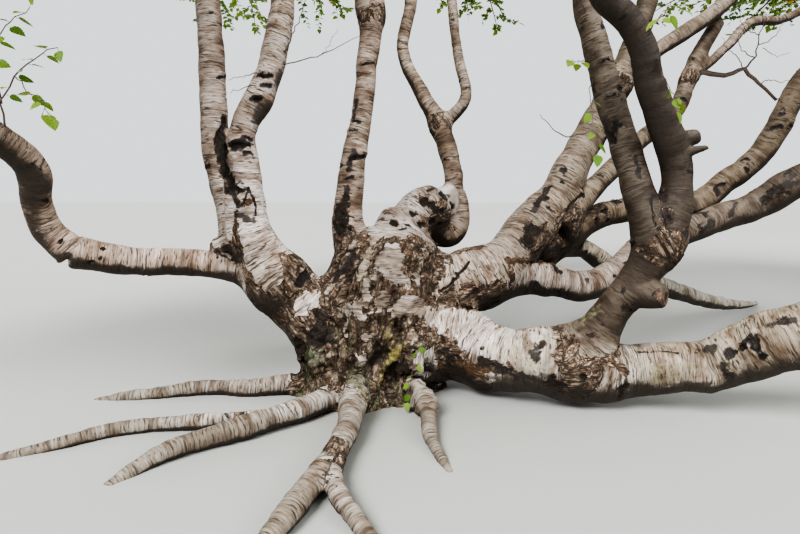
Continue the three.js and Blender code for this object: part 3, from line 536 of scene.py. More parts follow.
# The marks themselves, each along a line of places on the bark, with its half width, in millimetres.
# Some dark marks run along a limb's shaded side: painted shade there, with its darker bark.
MARKS = [
    ("ridge", 27, (173, -306, 300), (125, -302, 217), (70, -322, 142)),
    ("ridge", 47, (252, -309, 301), (262, -279, 169), (267, -346, 109), (302, -439, 80)),
    ("swell", 59, (-36, -510, 111), (-40, -317, 172), (3, -319, 361), (62, -280, 539), (116, -209, 694)),
    ("valley", 37, (-116, -350, 97), (-125, -290, 259), (-79, -260, 432), (-48, -222, 587)),
    ("swell", 52, (-214, -243, 88), (-209, -256, 249), (-173, -223, 424), (-128, -189, 534)),
    ("valley", 25, (140, -307, 33), (134, -252, 140), (117, -308, 288), (145, -297, 393)),
    ("swell", 51, (237, -347, 77), (251, -292, 202), (232, -294, 345), (186, -279, 469)),
    ("valley", 39, (-317, -149, 106), (-299, -202, 258), (-249, -228, 396)),
    ("swell", 66, (200, -224, 662), (220, -162, 761)),
    ("valley", 28, (50, -376, 50), (43, -317, 162), (85, -301, 262)),
    ("valley", 33, (300, -267, 146), (288, -307, 264), (261, -272, 373)),
    ("valley", 28, (163, -274, 506), (108, -295, 458)), ("valley", 30, (165, -280, 400), (145, -291, 345)),
    ("dark", 33, (70, -303, 275), (133, -293, 252)), ("valley", 34, (132, -258, 120), (84, -298, 50)),
    ("ochre", 29, (165, -309, 293), (125, -302, 217), (78, -326, 127)), ("pale", 21, (45, -309, 179)),
    ("ochre", 25, (125, -302, 381), (118, -314, 319)),
    ("pale", 22, (-67, -265, 462), (-66, -285, 376), (-74, -294, 330)),
    ("pale", 25, (-8, -299, 460), (8, -314, 416)), ("pale", 16, (31, -287, 506), (22, -264, 583)),
    ("cream", 21, (50, -162, 750), (4, -221, 641), (-19, -245, 580)),
    ("dark", 40, (-33, -163, 684), (-83, -167, 626), (-133, -166, 568)), ("pale", 35, (149, -219, 690)),
    ("pale", 37, (149, -252, 613), (165, -263, 583)), ("pale", 29, (262, -228, 577)),
    ("pale", 40, (436, -90, 574), (356, -155, 516)), ("pale", 27, (118, -287, 506), (86, -304, 469)),
    ("pale", 61, (181, -278, 464), (253, -255, 443), (337, -203, 424), (420, -202, 374), (501, -219, 319),
     (565, -281, 286)),
    ("twist", 14, (133, -285, 538), (253, -256, 525), (337, -190, 463)), ("pale", 29, (-293, -207, 492)),
    ("pale", 26, (-236, -212, 451)), ("cream", 23, (-164, -186, 517)),
    ("rough", 49, (-404, -229, 446), (-319, -216, 343), (-297, -210, 274)),
    ("moss", 58, (-234, -247, 243), (-279, -190, 140)), ("lichen", 38, (-122, -312, 139)),
    ("lichen", 62, (-7, -360, 130), (14, -446, 106)),
    ("rough", 49, (293, -269, 332), (377, -230, 280), (457, -253, 219)),
    ("orange", 49, (379, -225, 152), (570, -318, 157)),
    ("speckle", 37, (252, -309, 301), (262, -279, 169), (267, -346, 109)),
    ("speckle", 24, (8, -319, 336), (55, -328, 339)), ("speckle", 32, (-8, -333, 243), (22, -322, 199)),
    ("lichen", 49, (-191, -257, 287), (-208, -262, 205)), ("scar", 22, (284, -28, 826)),
    ("scar", 19, (215, -89, 820)), ("scar", 22, (333, -2, 928)), ("scar", 21, (390, 16, 902)),
    ("scar", 22, (160, -80, 836)), ("dark", 22, (340, 58, 1006)), ("dark", 44, (-138, 37, 814),
     (-129, 53, 927)),
    ("dark", 26, (-54, -3, 759), (-70, -68, 725)),
    ("rough", 30, (-355, -205, 639), (-280, -180, 570), (-221, -136, 546)),
    ("dark", 24, (428, 125, 727), (342, 71, 758)), ("rough", 23, (385, 43, 822), (455, 133, 800)),
    ("dark", 49, (-192, -236, 398), (-165, -270, 291), (-242, -241, 316)),
    ("hollow", 21, (-649, -116, 1315), (-663, -155, 1224), (-655, -159, 1150)),
    ("hollow", 29, (-632, -162, 1076), (-612, -177, 1001)), ("dark", 15, (-593, -200, 976),
     (-568, -208, 920)),
    ("scar", 34, (-569, -169, 1197)), ("scar", 16, (-532, -153, 1229)),
    ("lip", 12, (-621, -162, 1208), (-580, -172, 1222), (-533, -165, 1209), (-518, -146, 1223)),
    ("scar", 19, (-495, -140, 1418)),
    ("crack", 6, (-528, -187, 1004), (-510, -187, 963), (-500, -180, 914), (-500, -187, 876)),
    ("crack", 6, (-528, -187, 1004), (-538, -203, 963), (-555, -205, 926)),
    ("orange", 21, (-525, -202, 939)),
    ("dark", 19, (-582, -208, 883), (-550, -212, 863), (-515, -207, 855)),
    ("rough", 21, (-586, -217, 840), (-578, -232, 779), (-575, -227, 716), (-556, -220, 652),
     (-531, -227, 590), (-508, -228, 527)),
    ("rough", 15, (-479, -230, 723)),
    ("rough", 32, (-367, -186, 674), (-329, -199, 618), (-282, -182, 564), (-225, -139, 544)),
    ("pale", 68, (-500, -221, 809), (-476, -233, 685), (-432, -246, 593)),
    ("rough", 25, (-368, -237, 509), (-298, -207, 523)), ("dark", 10, (-582, -156, 1291),
     (-564, -158, 1272)),
    ("grey", 37, (-593, -184, 1111), (-580, -193, 1050)),
    ("twist", 18, (721, 24, 635), (802, 65, 648), (896, 146, 627)), ("orange", 22, (724, 22, 628),
     (802, 65, 637)),
    ("rough", 20, (744, 20, 599), (759, 20, 562)), ("dark", 43, (848, 124, 802), (901, 128, 787),
     (853, 108, 737)),
    ("rough", 25, (959, 153, 823), (901, 118, 706)),
    ("rough", 48, (1071, 203, 821), (1147, 245, 804), (1104, 249, 757)), ("scar", 22, (999, 282, 1015)),
    ("scar", 18, (968, 209, 961)), ("dark", 12, (974, 179, 905), (1005, 179, 890)),
    ("scar", 14, (1073, 273, 1042)),
    ("scar", 19, (1081, 295, 1104)), ("dark", 20, (898, 173, 890), (943, 224, 965), (1003, 283, 1019)),
    ("crack", 9, (1076, 203, 889), (1171, 292, 973)), ("scar", 28, (1368, 429, 885)),
    ("scar", 28, (1461, 484, 933)), ("scar", 20, (1388, 427, 827)), ("scar", 16, (1319, 403, 837)),
    ("pale", 21, (1213, 337, 799)), ("scar", 14, (1144, 319, 681)), ("scar", 12, (1230, 396, 694)),
    ("scar", 13, (1281, 455, 644)), ("scar", 15, (1051, 179, 559)), ("dark", 20, (1196, 184, 516)),
    ("scar", 17, (1429, 246, 601)), ("scar", 11, (1257, 219, 545)), ("scar", 14, (1360, 222, 534)),
    ("dark", 33, (861, 109, 482), (982, 137, 462), (1114, 189, 414)), ("pale", 24, (516, -80, 467)),
    ("pale", 17, (464, -103, 507)), ("rough", 35, (466, -117, 453), (538, -72, 419)),
    ("rough", 38, (592, -41, 456)), ("rough", 16, (648, -35, 527)), ("crack", 8, (452, -70, 582),
     (406, -131, 508)),
    ("pale", 43, (651, -5, 645), (625, -35, 592)), ("pale", 43, (603, 12, 672), (698, 64, 696)),
    ("dark", 18, (1142, -429, 568)), ("dark", 34, (805, -384, 306), (770, -405, 253)),
    ("rough", 15, (666, -356, 216)), ("rough", 20, (511, -216, 323), (567, -297, 266)),
    ("rough", 52, (387, -234, 270), (431, -244, 193)), ("orange", 40, (390, -207, 123), (539, -283, 102)),
    ("dark", 29, (545, -249, 61), (653, -272, 58)),
    ("rough", 31, (887, -434, 262), (941, -462, 229), (1001, -463, 239)), ("scar", 15, (848, -433, 176)),
    ("scar", 16, (961, -468, 188)), ("rough", 21, (1122, -439, 263), (1148, -457, 211)),
    ("crack", 7, (1146, -399, 303), (1247, -412, 281), (1382, -451, 293)), ("dark", 38, (1515, -483, 313)),
    ("scar", 20, (1593, -546, 347)), ("scar", 31, (1630, -569, 373)), ("scar", 24, (1557, -530, 312)),
    ("scar", 19, (1656, -601, 323)), ("dark", 26, (1534, -526, 259), (1571, -529, 204)),
    ("dark", 23, (1678, -581, 445), (1747, -619, 483)), ("dark", 23, (1021, -422, 365)),
    ("dark", 24, (1150, -445, 504)), ("crack", 6, (1015, -324, 427), (1064, -424, 408)),
    ("cream", 64, (670, -329, 275), (779, -416, 214)), ("green", 61, (1229, -459, 217), (1411, -500, 230)),
    ("green", 42, (997, -334, 408), (1044, -372, 470)), ("green", 52, (751, -406, 189)),
    ("hollow", 34, (1114, -325, 1254), (1104, -314, 1216)), ("scar", 17, (1115, -340, 1415)),
    ("scar", 9, (1122, -348, 1375)), ("scar", 9, (1139, -539, 1604)),
    ("dark", 26, (1288, -411, 975), (1294, -479, 867)), ("scar", 15, (1296, -474, 875)),
    ("dark", 46, (2299, 353, 1004)), ("dark", 38, (2381, 348, 1096)), ("dark", 30, (1928, 423, 877)),
    ("dark", 34, (1379, -472, 806)), ("scar", 19, (2267, 361, 952)), ("scar", 22, (2479, 518, 1384)),
    ("crack", 6, (1240, -428, 951), (1239, -459, 859), (1293, -494, 761)), ("scar", 13, (1246, -423, 967)),
    ("dark", 14, (1178, -378, 1132), (1203, -403, 1045)), ("scar", 12, (-1270, -431, 773)),
    ("scar", 10, (-1270, -514, 1075)), ("scar", 7, (-1254, -430, 724)), ("scar", 14, (-1144, -362, 697)),
    ("scar", 10, (-1144, -341, 736)), ("scar", 8, (-691, -166, 676)), ("green", 38, (-637, -174, 623)),
    ("scar", 10, (-666, -133, 1515), (-650, -77, 1531)), ("lip", 8, (-673, -138, 1518), (-654, -115, 1540)),
    ("scar", 12, (-464, -119, 1526), (-426, -105, 1534)),
    ("lip", 10, (-475, -117, 1532), (-445, -110, 1554), (-417, -98, 1541)),
    ("scar", 12, (-468, -131, 1474), (-432, -108, 1484)),
    ("lip", 10, (-477, -132, 1479), (-449, -119, 1503), (-423, -99, 1491)),
    ("scar", 10, (-515, -145, 1413), (-480, -137, 1419)),
    ("lip", 9, (-524, -146, 1418), (-496, -145, 1437), (-470, -137, 1424)),
    ("scar", 15, (-593, -171, 1196), (-541, -169, 1202)),
    ("lip", 13, (-606, -169, 1202), (-566, -169, 1229), (-529, -165, 1209)),
    ("scar", 8, (-545, -163, 1234), (-523, -133, 1241)),
    ("lip", 8, (-553, -160, 1238), (-535, -145, 1256), (-519, -122, 1246)),
    ("scar", 11, (-5, 108, 1636), (35, 120, 1644)), ("lip", 10, (-16, 112, 1642), (15, 112, 1662),
     (44, 129, 1651)),
    ("scar", 14, (-56, 64, 1164), (-9, 92, 1172)), ("lip", 12, (-68, 65, 1170), (-32, 69, 1196),
     (2, 119, 1181)),
    ("scar", 11, (-64, 103, 1349), (-22, 87, 1352)),
    ("lip", 10, (-76, 127, 1357), (-42, 93, 1373), (-11, 89, 1357)), ("scar", 9, (-80, 101, 1304),
     (-46, 81, 1306)),
    ("lip", 8, (-91, 131, 1312), (-63, 92, 1324), (-38, 81, 1310)), ("scar", 9, (-94, 50, 1059),
     (-61, 49, 1063)),
    ("lip", 8, (-102, 54, 1063), (-77, 51, 1080), (-53, 52, 1067)), ("scar", 6, (-660, -78, 1740)),
    ("lip", 6, (-661, -93, 1738)), ("scar", 6, (-697, -138, 1801), (-679, -128, 1807)),
    ("lip", 5, (-702, -139, 1803), (-688, -132, 1816), (-674, -123, 1811)),
    ("scar", 7, (416, 207, 1161), (440, 193, 1163)),
    ("lip", 6, (410, 212, 1165), (428, 198, 1177), (447, 193, 1166)), ("scar", 7, (229, 304, 1700)),
    ("lip", 6, (222, 301, 1703)), ("scar", 7, (518, 258, 1545), (544, 256, 1547)),
    ("lip", 6, (512, 264, 1549), (531, 258, 1561), (551, 261, 1551)), ("scar", 10, (1028, -284, 1422)),
    ("lip", 9, (1031, -297, 1424)), ("scar", 8, (1048, -318, 1545), (1075, -319, 1548)),
    ("lip", 7, (1041, -315, 1549), (1060, -319, 1562), (1083, -315, 1552)),
    ("scar", 8, (1074, -335, 1396), (1097, -346, 1397)),
    ("lip", 7, (1068, -332, 1400), (1084, -342, 1412), (1104, -345, 1401)),
    ("scar", 14, (1853, 615, 1545), (1896, 606, 1549)),
    ("lip", 12, (1846, 626, 1553), (1875, 615, 1576), (1910, 611, 1556)), ("scar", 7, (1182, -528, 1492)),
    ("lip", 6, (1174, -531, 1494), (1199, -518, 1511)), ("scar", 14, (2234, 571, 1186), (2264, 544, 1190)),
    ("lip", 12, (2234, 593, 1194), (2262, 582, 1218), (2274, 542, 1196)),
    ("scar", 14, (2080, 548, 1037), (2123, 540, 1042)),
    ("lip", 12, (2072, 556, 1043), (2105, 554, 1068), (2135, 540, 1048)),
    ("scar", 13, (2383, 531, 1370), (2417, 513, 1373)),
    ("lip", 12, (2377, 541, 1377), (2399, 524, 1399), (2426, 510, 1378)), ("scar", 11, (1956, 667, 1795)),
    ("lip", 10, (1953, 701, 1824), (1964, 664, 1799)), ("scar", 7, (-1299, -557, 1086),
     (-1282, -544, 1090)),
    ("lip", 6, (-1302, -561, 1089), (-1287, -555, 1102), (-1278, -540, 1093)),
    ("scar", 7, (-1304, -478, 948), (-1295, -450, 952)),
    ("lip", 7, (-1306, -484, 952), (-1294, -471, 966), (-1295, -441, 955)),
    ("scar", 8, (-1191, -386, 680), (-1170, -375, 682)),
    ("lip", 7, (-1195, -391, 684), (-1177, -383, 698), (-1164, -372, 685)),
    ("hollow", 28, (-647, -134, 1331), (-661, -147, 1252), (-656, -154, 1182), (-642, -165, 1112),
     (-626, -164, 1052), (-598, -186, 996)),
    ("lip", 19, (-609, -164, 1227), (-599, -180, 1134), (-575, -191, 1061)), ("scar", 25, (298, 3, 950)),
    ("scar", 20, (237, -35, 881)), ("scar", 19, (177, -137, 798)), ("scar", 22, (358, -4, 910)),
    ("scar", 25, (396, 42, 970)), ("scar", 20, (334, 2, 840)), ("scar", 15, (138, -72, 843)),
    ("scar", 18, (381, 33, 838)), ("dark", 20, (-67, 66, 1202), (-78, 57, 1102)),
    ("dark", 25, (-98, 46, 1001), (-114, 36, 889), (-103, 15, 788)),
    ("dark", 20, (-47, 105, 1456), (-58, 104, 1377)), ("rough", 29, (-8, -105, 766), (25, -180, 715)),
    ("twist", 15, (-141, 30, 757), (-75, -20, 740), (2, -112, 767)), ("crack", 8, (-130, 32, 818),
     (-67, 18, 798)),
    ("crack", 8, (-114, 35, 879), (-63, 35, 864)),
    ("crack", 8, (-120, -22, 700), (-56, -121, 699), (-5, -155, 722)),
    ("dark", 40, (2255, 360, 950), (2361, 321, 1033)), ("dark", 29, (1893, 351, 768), (1963, 361, 825)),
    ("dark", 23, (2068, 370, 865), (2107, 393, 921)), ("dark", 22, (1083, -299, 1247)),
    ("crack", 10, (884, 269, 950)), ("crack", 8, (531, -20, 639), (433, -100, 549), (371, -150, 508)),
    ("rough", 40, (526, -77, 505), (638, -12, 442), (685, -22, 521)), ("pale", 30, (488, -106, 450)),
    ("pale", 25, (568, -57, 527)), ("pale", 26, (657, 36, 401)),
    ("dark", 27, (547, -309, 217), (717, -382, 156), (880, -439, 143)),
    ("rough", 43, (418, -214, 128), (553, -279, 86)), ("dark", 33, (390, -241, 245), (417, -225, 151)),
    ("cut", 50, (1283, -478, 548)), ("pith", 20, (1285, -480, 548)),
]


# Knots where side twigs have died, dealt out along every bough
rng = np.random.default_rng(311)
for limb in limbs:
    if limb["name"] not in ROOTS:
        for k in range(rng.integers(8, 20), len(limb["line"]) - 10, 17):
            k += rng.integers(-6, 7)
            bearing, half = rng.uniform(0, math.tau), limb["half"][k]
            knot = [limb["line"][k] + half * (
                limb["across"][k] * math.cos(bearing + turn) + limb["aside"][k] * math.sin(bearing + turn))
                for turn in (-0.22, 0.0, 0.22)]
            reach = min(0.022, 0.16 * half + 0.003) * rng.uniform(0.6, 1.1)
            brow = [point + (0, 0, up * reach) for point, up in zip(knot, (2.0, 3.1, 2.0))]
            for kind, wide, places in (("scar", reach, knot), ("dark", reach / 2, brow)):
                MARKS.append((kind, 1000 * wide, *(tuple(1000 * point) for point in places)))


def age_marks(co):
    """What all the marks come to at each corner: height, pale bark, colour and its strength."""
    height, pale = np.zeros(len(co)), np.zeros(len(co))
    color, strength = np.zeros((len(co), 3)), np.zeros(len(co))
    seats = KDTree(len(co))
    for k, point in enumerate(co):
        seats.insert(point, k)
    seats.balance()
    ragged = np.stack([noise(co * 21, 71 + k) + 0.6 * noise(co * 55, 74 + k) for k in range(3)], 1)
    for kind, half, *places in MARKS:
        rise, flake, tint_color, force = KINDS[kind]
        half = half / 1000
        seated = [seats.find(np.array(place) / 1000) for place in places]
        places = np.array([point for point, _, gap in seated if gap < 0.12])
        if not len(places):
            continue
        reach = 2.4 * half
        pick = np.flatnonzero(((co > places.min(0) - reach) & (co < places.max(0) + reach)).all(1))
        point = co[pick] + ragged[pick] * min(0.75 * half, 0.035)
        nearest = np.full(len(pick), 9.0)
        for a, b in zip(places, places[1:] if len(places) > 1 else places):
            run = np.clip(((point - a) @ (b - a)) / max((b - a) @ (b - a), 1e-9), 0, 1)
            nearest = np.minimum(nearest, np.linalg.norm(point - a - run[:, None] * (b - a), axis=1))
        share = np.exp(-(nearest / half) ** 2 * 1.1)
        edge = step_over(-nearest / half, -1.5, -0.4)
        height[pick] += rise * half * share
        if kind == "scar":
            height[pick] += 0.30 * half * np.exp(-((nearest - 1.15 * half) / (0.4 * half)) ** 2)
        pale[pick] += flake * edge
        over = edge * force
        covers = over > strength[pick] * 0.6
        at = pick[covers]
        color[at] = tint_color
        strength[at] = np.maximum(strength[at], over[covers])
    return height, pale, color, strength


def bark_relief(owner, place):
    """How far the bark of a limb stands out at each corner, how old and flaky it is, its colour."""
    root, trunk = is_root[owner], owner == 0
    run = place[:, 2] + goes_on[owner]
    grain = np.stack([place[:, 0], place[:, 1], run], 1) + owner[:, None] * 3.7
    patch = 0.36 * step_over(noise(grain * 2.3, 51), 0.42, 0.8) * ~root
    rough = np.exp(-(run / rough_run[owner]) ** 2) + patch
    low_left = step_over(-place[:, 0], -0.02, 0.16) * (1 - step_over(run, 0.22, 0.46))
    foot, shoulder = 1 - step_over(run, 0.05, 0.30), step_over(run, 0.58, 0.76)
    bole_rough = 0.60 + 0.50 * low_left + 0.22 * foot - 0.22 * shoulder
    rough = np.where(trunk, bole_rough, np.clip(rough, 0, 1))
    stretch = np.where(trunk[:, None], (15, 15, 5.5), (6, 6, 11))
    flake = 0.60 - 1.12 * rough + 0.46 * noise(grain * stretch, 52) + 0.26 * noise(grain * stretch * 2.7, 53)
    pale = step_over(flake, -0.08, 0.10)
    swell = 0.020 * noise(grain * (4.6, 4.6, 1.7), 50)
    pleat = 0.011 * (1 - 2 * np.abs(noise(grain * (9.5, 9.5, 1.5), 49))) * trunk
    bend = np.stack([noise(grain * 6, 81 + k) for k in range(3)], 1) * 0.05
    furrow = noise((grain + bend) * np.where(trunk[:, None], (9, 9, 2.6), (16, 16, 7)), 54)
    cleft = np.exp(-((furrow / 0.15) ** 2))
    crack = np.exp(-((noise((grain + bend * 0.4) * (26, 26, 11), 55) / 0.20) ** 2))
    depth = np.where(trunk, 1.0, 0.45)
    shaggy = pleat + depth * (swell + 0.009 * noise(grain * (8, 8, 4), 56) - 0.015 * cleft - 0.006 * crack)
    papery = 0.0040 * noise(grain * (7, 7, 9), 57) + 0.0014 * noise(grain * (2, 2, 38), 58) + 0.004 * depth
    rings = 0.0030 * noise(grain * (2.5, 2.5, 34), 59) + 0.005 * noise(grain * (9, 9, 6), 60) + 0.003
    papery = np.where(root, rings, papery + depth * swell) + pleat
    relief = shaggy * (1 - pale) + papery * pale
    # The grooves, where the bark colour gets painted shade over their dark bark
    groove = (1 - pale) * np.clip(cleft * 0.9 + crack * 0.35, 0, 1)
    share = np.clip(place[:, 2] / np.maximum(0.55 * whole_length[owner], 0.5), 0, 1)[:, None] ** 0.6
    tone = foot_tone[owner] * (1 - share) + tip_tone[owner] * share
    return np.column_stack([relief, flake, groove, tone]), grain


patches = []
for tubes, voxel, rounds in ((near_tubes, NEAR_VOXEL, 5), (far_tubes, FAR_VOXEL, 3)):
    co, quads, edges = fuse(tubes, voxel)
    co = relax(co, edges, rounds, 0.5)
    # Where two limbs meet, wood fills the crotch between them
    owner, place, other, other_place, crotch, lesser = read_limbs(co)
    fill = np.clip(1.5 * lesser, 0.03, 0.22)
    web = np.clip(1 - np.maximum(crotch, 0) / fill, 0, 1)
    co = co + outward(co, quads) * (0.25 * fill * web ** 2)[:, None]
    co = relax(co, edges, int(0.22 / voxel), 0.5 * step_over(web, 0.0, 0.5)[:, None])
    owner, place, other, other_place, crotch, lesser = read_limbs(co)
    fields, grain = bark_relief(owner, place)
    # Across the crotch one limb's bark passes into the other's
    near = np.flatnonzero(crotch < 0.15)
    beyond, _ = bark_relief(other[near], other_place[near])
    blend = 0.5 * np.exp(-(np.maximum(crotch[near], 0) / 0.06) ** 2)[:, None]
    fields[near] = fields[near] * (1 - blend) + beyond * blend
    fields[:, 1] -= 0.30 * np.exp(-(np.maximum(crotch, 0) / 0.03) ** 2)
    out = outward(co, quads)
    height, pale, color, strength = age_marks(co)
    # The undersides are dark: partly damp bark, partly painted shade under the limbs and roots
    damp_and_underside_shade = np.where(is_root[owner], 0.35, 0.28) - out[:, 2] + 0.25 * noise(co * 9, 62)
    damp_and_underside_shade = step_over(damp_and_underside_shade, 0.10, 0.90) * 0.85
    covers = (damp_and_underside_shade > strength)[:, None]
    color = np.where(covers, (0.045, 0.034, 0.026), color)
    strength = np.maximum(damp_and_underside_shade, strength)
    mossy = step_over(0.42 - co[:, 2] + 0.30 * noise(co * 5, 61), 0.0, 0.6) * (owner == 0)
    co = co + out * (fields[:, 0] + height)[:, None]
    # The flat cut at the ground
    kept = (co[quads][:, :, 2] > 0).any(1)
    quads = quads[kept]
    co[:, 2] = np.maximum(co[:, 2], 0)
    # The last four columns are the stains and the painted shade of undersides, hollows and valleys
    values = np.column_stack([
        grain, fields[:, 1] + pale, ring_share[owner], mossy, fields[:, 3:], fields[:, 2], color, strength])
    patches.append((co, quads, outward(co, quads), owner, values))


def heart_of(k, points):
    """The middle of the limb beside each point, and its number along the limb."""
    if k == 0:
        at = np.rint(points[:, 2] / RING_STEP).astype(int)
        return at, bole_line(at * RING_STEP)
    line = limbs[k - 1]["line"]
    at = ((line ** 2).sum(1) - 2 * points @ line.T).argmin(1)
    return at, line[at]


def close_seams(k, quads, co, normals):
    """Faces that close a piece's open edges: from each edge in to the middle of the limb, and
    flat along the ground. Where the way in would pass through the air it goes straight in."""
    starts, ends = quads.ravel(), np.roll(quads, -1, axis=1).ravel()
    open_edge = ~np.isin(starts * len(co) + ends, ends * len(co) + starts)
    a, b = starts[open_edge], ends[open_edge]
    rim, back = np.unique(np.concatenate([a, b]), return_inverse=True)
    at, heart = heart_of(k, co[rim])
    flat = co[rim, 2] < 1e-6
    way = heart - co[rim]
    astray = ((way * normals[rim]).sum(1) > -0.62 * np.linalg.norm(way, axis=1)) & ~flat
    heart[astray] = co[rim[astray]] - 0.018 * normals[rim[astray]]
    heart[:, 2] = np.where(flat, 0, np.maximum(heart[:, 2], 0))
    key = np.where(astray, -1 - np.arange(len(rim)), at * 2 + flat)
    _, first, inner = np.unique(key, return_index=True, return_inverse=True)
    to_a, to_b = np.split((len(co) + inner)[back], 2)
    wedges = np.stack([b, to_a, to_b], 1)[to_a != to_b]
    return heart[first], np.concatenate([np.stack([b, a, to_a], 1), wedges])


def build_piece(name, faces_by_size, co, normals, points):
    """A mesh from arrays: its faces, its smooth directions and its values at each corner."""
    mesh = bpy.data.meshes.new(name)
    loops = np.concatenate([np.asarray(f, np.int64).ravel() for f in faces_by_size])
    sizes = np.concatenate([np.full(len(f), np.shape(f)[1]) for f in faces_by_size if len(f)])
    mesh.vertices.add(len(co))
    mesh.vertices.foreach_set("co", np.ascontiguousarray(co, np.float32).ravel())
    mesh.loops.add(len(loops))
    mesh.loops.foreach_set("vertex_index", loops.astype(np.int32))
    mesh.polygons.add(len(sizes))
    mesh.polygons.foreach_set("loop_start", np.concatenate([[0], np.cumsum(sizes)[:-1]]).astype(np.int32))
    mesh.update(calc_edges=True)
    mesh.polygons.foreach_set("use_smooth", np.ones(len(sizes), bool))
    for key, (kind, field, values) in points.items():
        layer = mesh.attributes.new(key, kind, "POINT")
        layer.data.foreach_set(field, np.ascontiguousarray(values, np.float32).ravel())
    if normals is not None:
        mesh.normals_split_custom_set_from_vertices(normals)
    piece = bpy.data.objects.new(name, mesh)
    scene.collection.objects.link(piece)
    return piece


wood_pieces = {}
for k, name in enumerate(names):
    cos, normals, points, quads, rest = [], [], [], [], []
    shift = 0
    for co, faces, out, owner, values in patches:
        mine = faces[owner[faces[:, 0]] == k]
        if not len(mine):
            continue
        used, local = np.unique(mine.ravel(), return_inverse=True)
        local = local.reshape(-1, 4)
        added, triangles = close_seams(k, local, co[used], out[used])
        extra = len(added)
        cos.append(np.vstack([co[used], added]))
        normals.append(np.vstack([out[used], np.tile((0, 0, -1), (extra, 1))]))
        points.append(np.vstack([values[used], np.repeat(values[used[:1]], extra, axis=0)]))
        quads.append(local + shift)
        rest.append(triangles + shift)
        shift += len(used) + extra
    values = np.vstack(points)
    rest = [faces for faces in rest if len(faces)]
    wood_pieces[name] = build_piece(
        name + "_bark", [np.vstack(quads), *rest], np.vstack(cos), np.vstack(normals), {
            "grain": ("FLOAT_VECTOR", "vector", values[:, :3]),
            "marks": ("FLOAT_VECTOR", "vector", values[:, 3:6]),
            "tone": ("FLOAT_COLOR", "color", values[:, 6:10]),
            "stain_and_shade": ("FLOAT_COLOR", "color", values[:, 10:])})


def place_node(tree, kind, sockets=None, **settings):
    """A shader node with its settings, its sockets set or wired."""
    node = tree.nodes.new(kind)
    for key, value in settings.items():
        setattr(node, key, value)
    for key, value in (sockets or {}).items():
        socket = node.inputs[key]
        if isinstance(value, bpy.types.NodeSocket):
            tree.links.new(value, socket)
        else:
            socket.default_value = value
    return node


def span(tree, value, low, high, to_low=0.0, to_high=1.0):
    sockets = {"Value": value, "From Min": low, "From Max": high, "To Min": to_low, "To Max": to_high}
    return place_node(tree, "ShaderNodeMapRange", sockets, interpolation_type="SMOOTHSTEP").outputs[0]


def tint(tree, share, a, b, blend="MIX"):
    mix = place_node(tree, "ShaderNodeMix", data_type="RGBA", blend_type=blend)
    for key, value in ((0, share), (6, a), (7, b)):
        if isinstance(value, bpy.types.NodeSocket):
            tree.links.new(value, mix.inputs[key])
        else:
            mix.inputs[key].default_value = value
    return mix.outputs[2]


# Birch bark. Thin bark is papery and pale, drawn across with fine dark lines; where it is old it
# lies in flakes on brown, fissured bark, and on the roots it is drawn into rings. Grain runs along
# the limb, the marks say where the flakes and rings are, and the stain is what lies on the bark,
# together with painted shade under the limbs and in hollows and valleys.
bark = bpy.data.node_groups.new("birch bark", "ShaderNodeTree")
for in_out, sockets in (
        ("INPUT", {"Grain": "Vector", "Marks": "Vector", "Tone": "Color", "Groove": "Float", "Stain and shade": "Color",
                   "Stain and shade amount": "Float", "Lines": "Float", "Coarseness": "Float"}),
        ("OUTPUT", {"Color": "Color", "Roughness": "Float", "Height": "Float"})):
    for socket, kind in sockets.items():
        bark.interface.new_socket(socket, in_out=in_out, socket_type="NodeSocket" + kind)


def figure(operation, *values):
    """A sum on one or two values of the bark, or a product and the like."""
    return place_node(bark, "ShaderNodeMath", dict(enumerate(values)), operation=operation).outputs[0]


def vector_figure(operation, a, b):
    return place_node(bark, "ShaderNodeVectorMath", {0: a, 1: b}, operation=operation).outputs[0]


def grain_noise(grain, stretch, detail, rough):
    stretched = vector_figure("MULTIPLY", grain, stretch)
    sockets = {"Vector": stretched, "Scale": 1.0, "Detail": detail, "Roughness": rough}
    return place_node(bark, "ShaderNodeTexNoise", sockets).outputs[0]


def shade(share, color, by):
    """The color, with a share of it multiplied by another."""
    return tint(bark, share, color, tint(bark, 1.0, color, (*by, 1), "MULTIPLY"))


def creases(grain, stretch, width):
    """Dark lines, 1 in the middle of a crease, where a stretched noise crosses its mean."""
    wave = figure("SUBTRACT", grain_noise(grain, stretch, 2, 0.5), 0.5)
    return span(bark, figure("ABSOLUTE", wave), width, 0.0)


def ragged_edge(stretch, detail, rough, strength):
    """Noise about nothing, to make an edge ragged."""
    return figure("MULTIPLY", figure("SUBTRACT", grain_noise(stirred, stretch, detail, rough), 0.5), strength)


given = bark.nodes.new("NodeGroupInput").outputs
grain = given["Grain"]
marks = place_node(bark, "ShaderNodeSeparateXYZ", {0: given["Marks"]}).outputs
stir = place_node(bark, "ShaderNodeTexNoise", {"Vector": grain, "Scale": 11.0, "Detail": 2.0})
stirred = vector_figure("ADD", grain, vector_figure("MULTIPLY", stir.outputs["Color"], (0.045, 0.045, 0.045)))
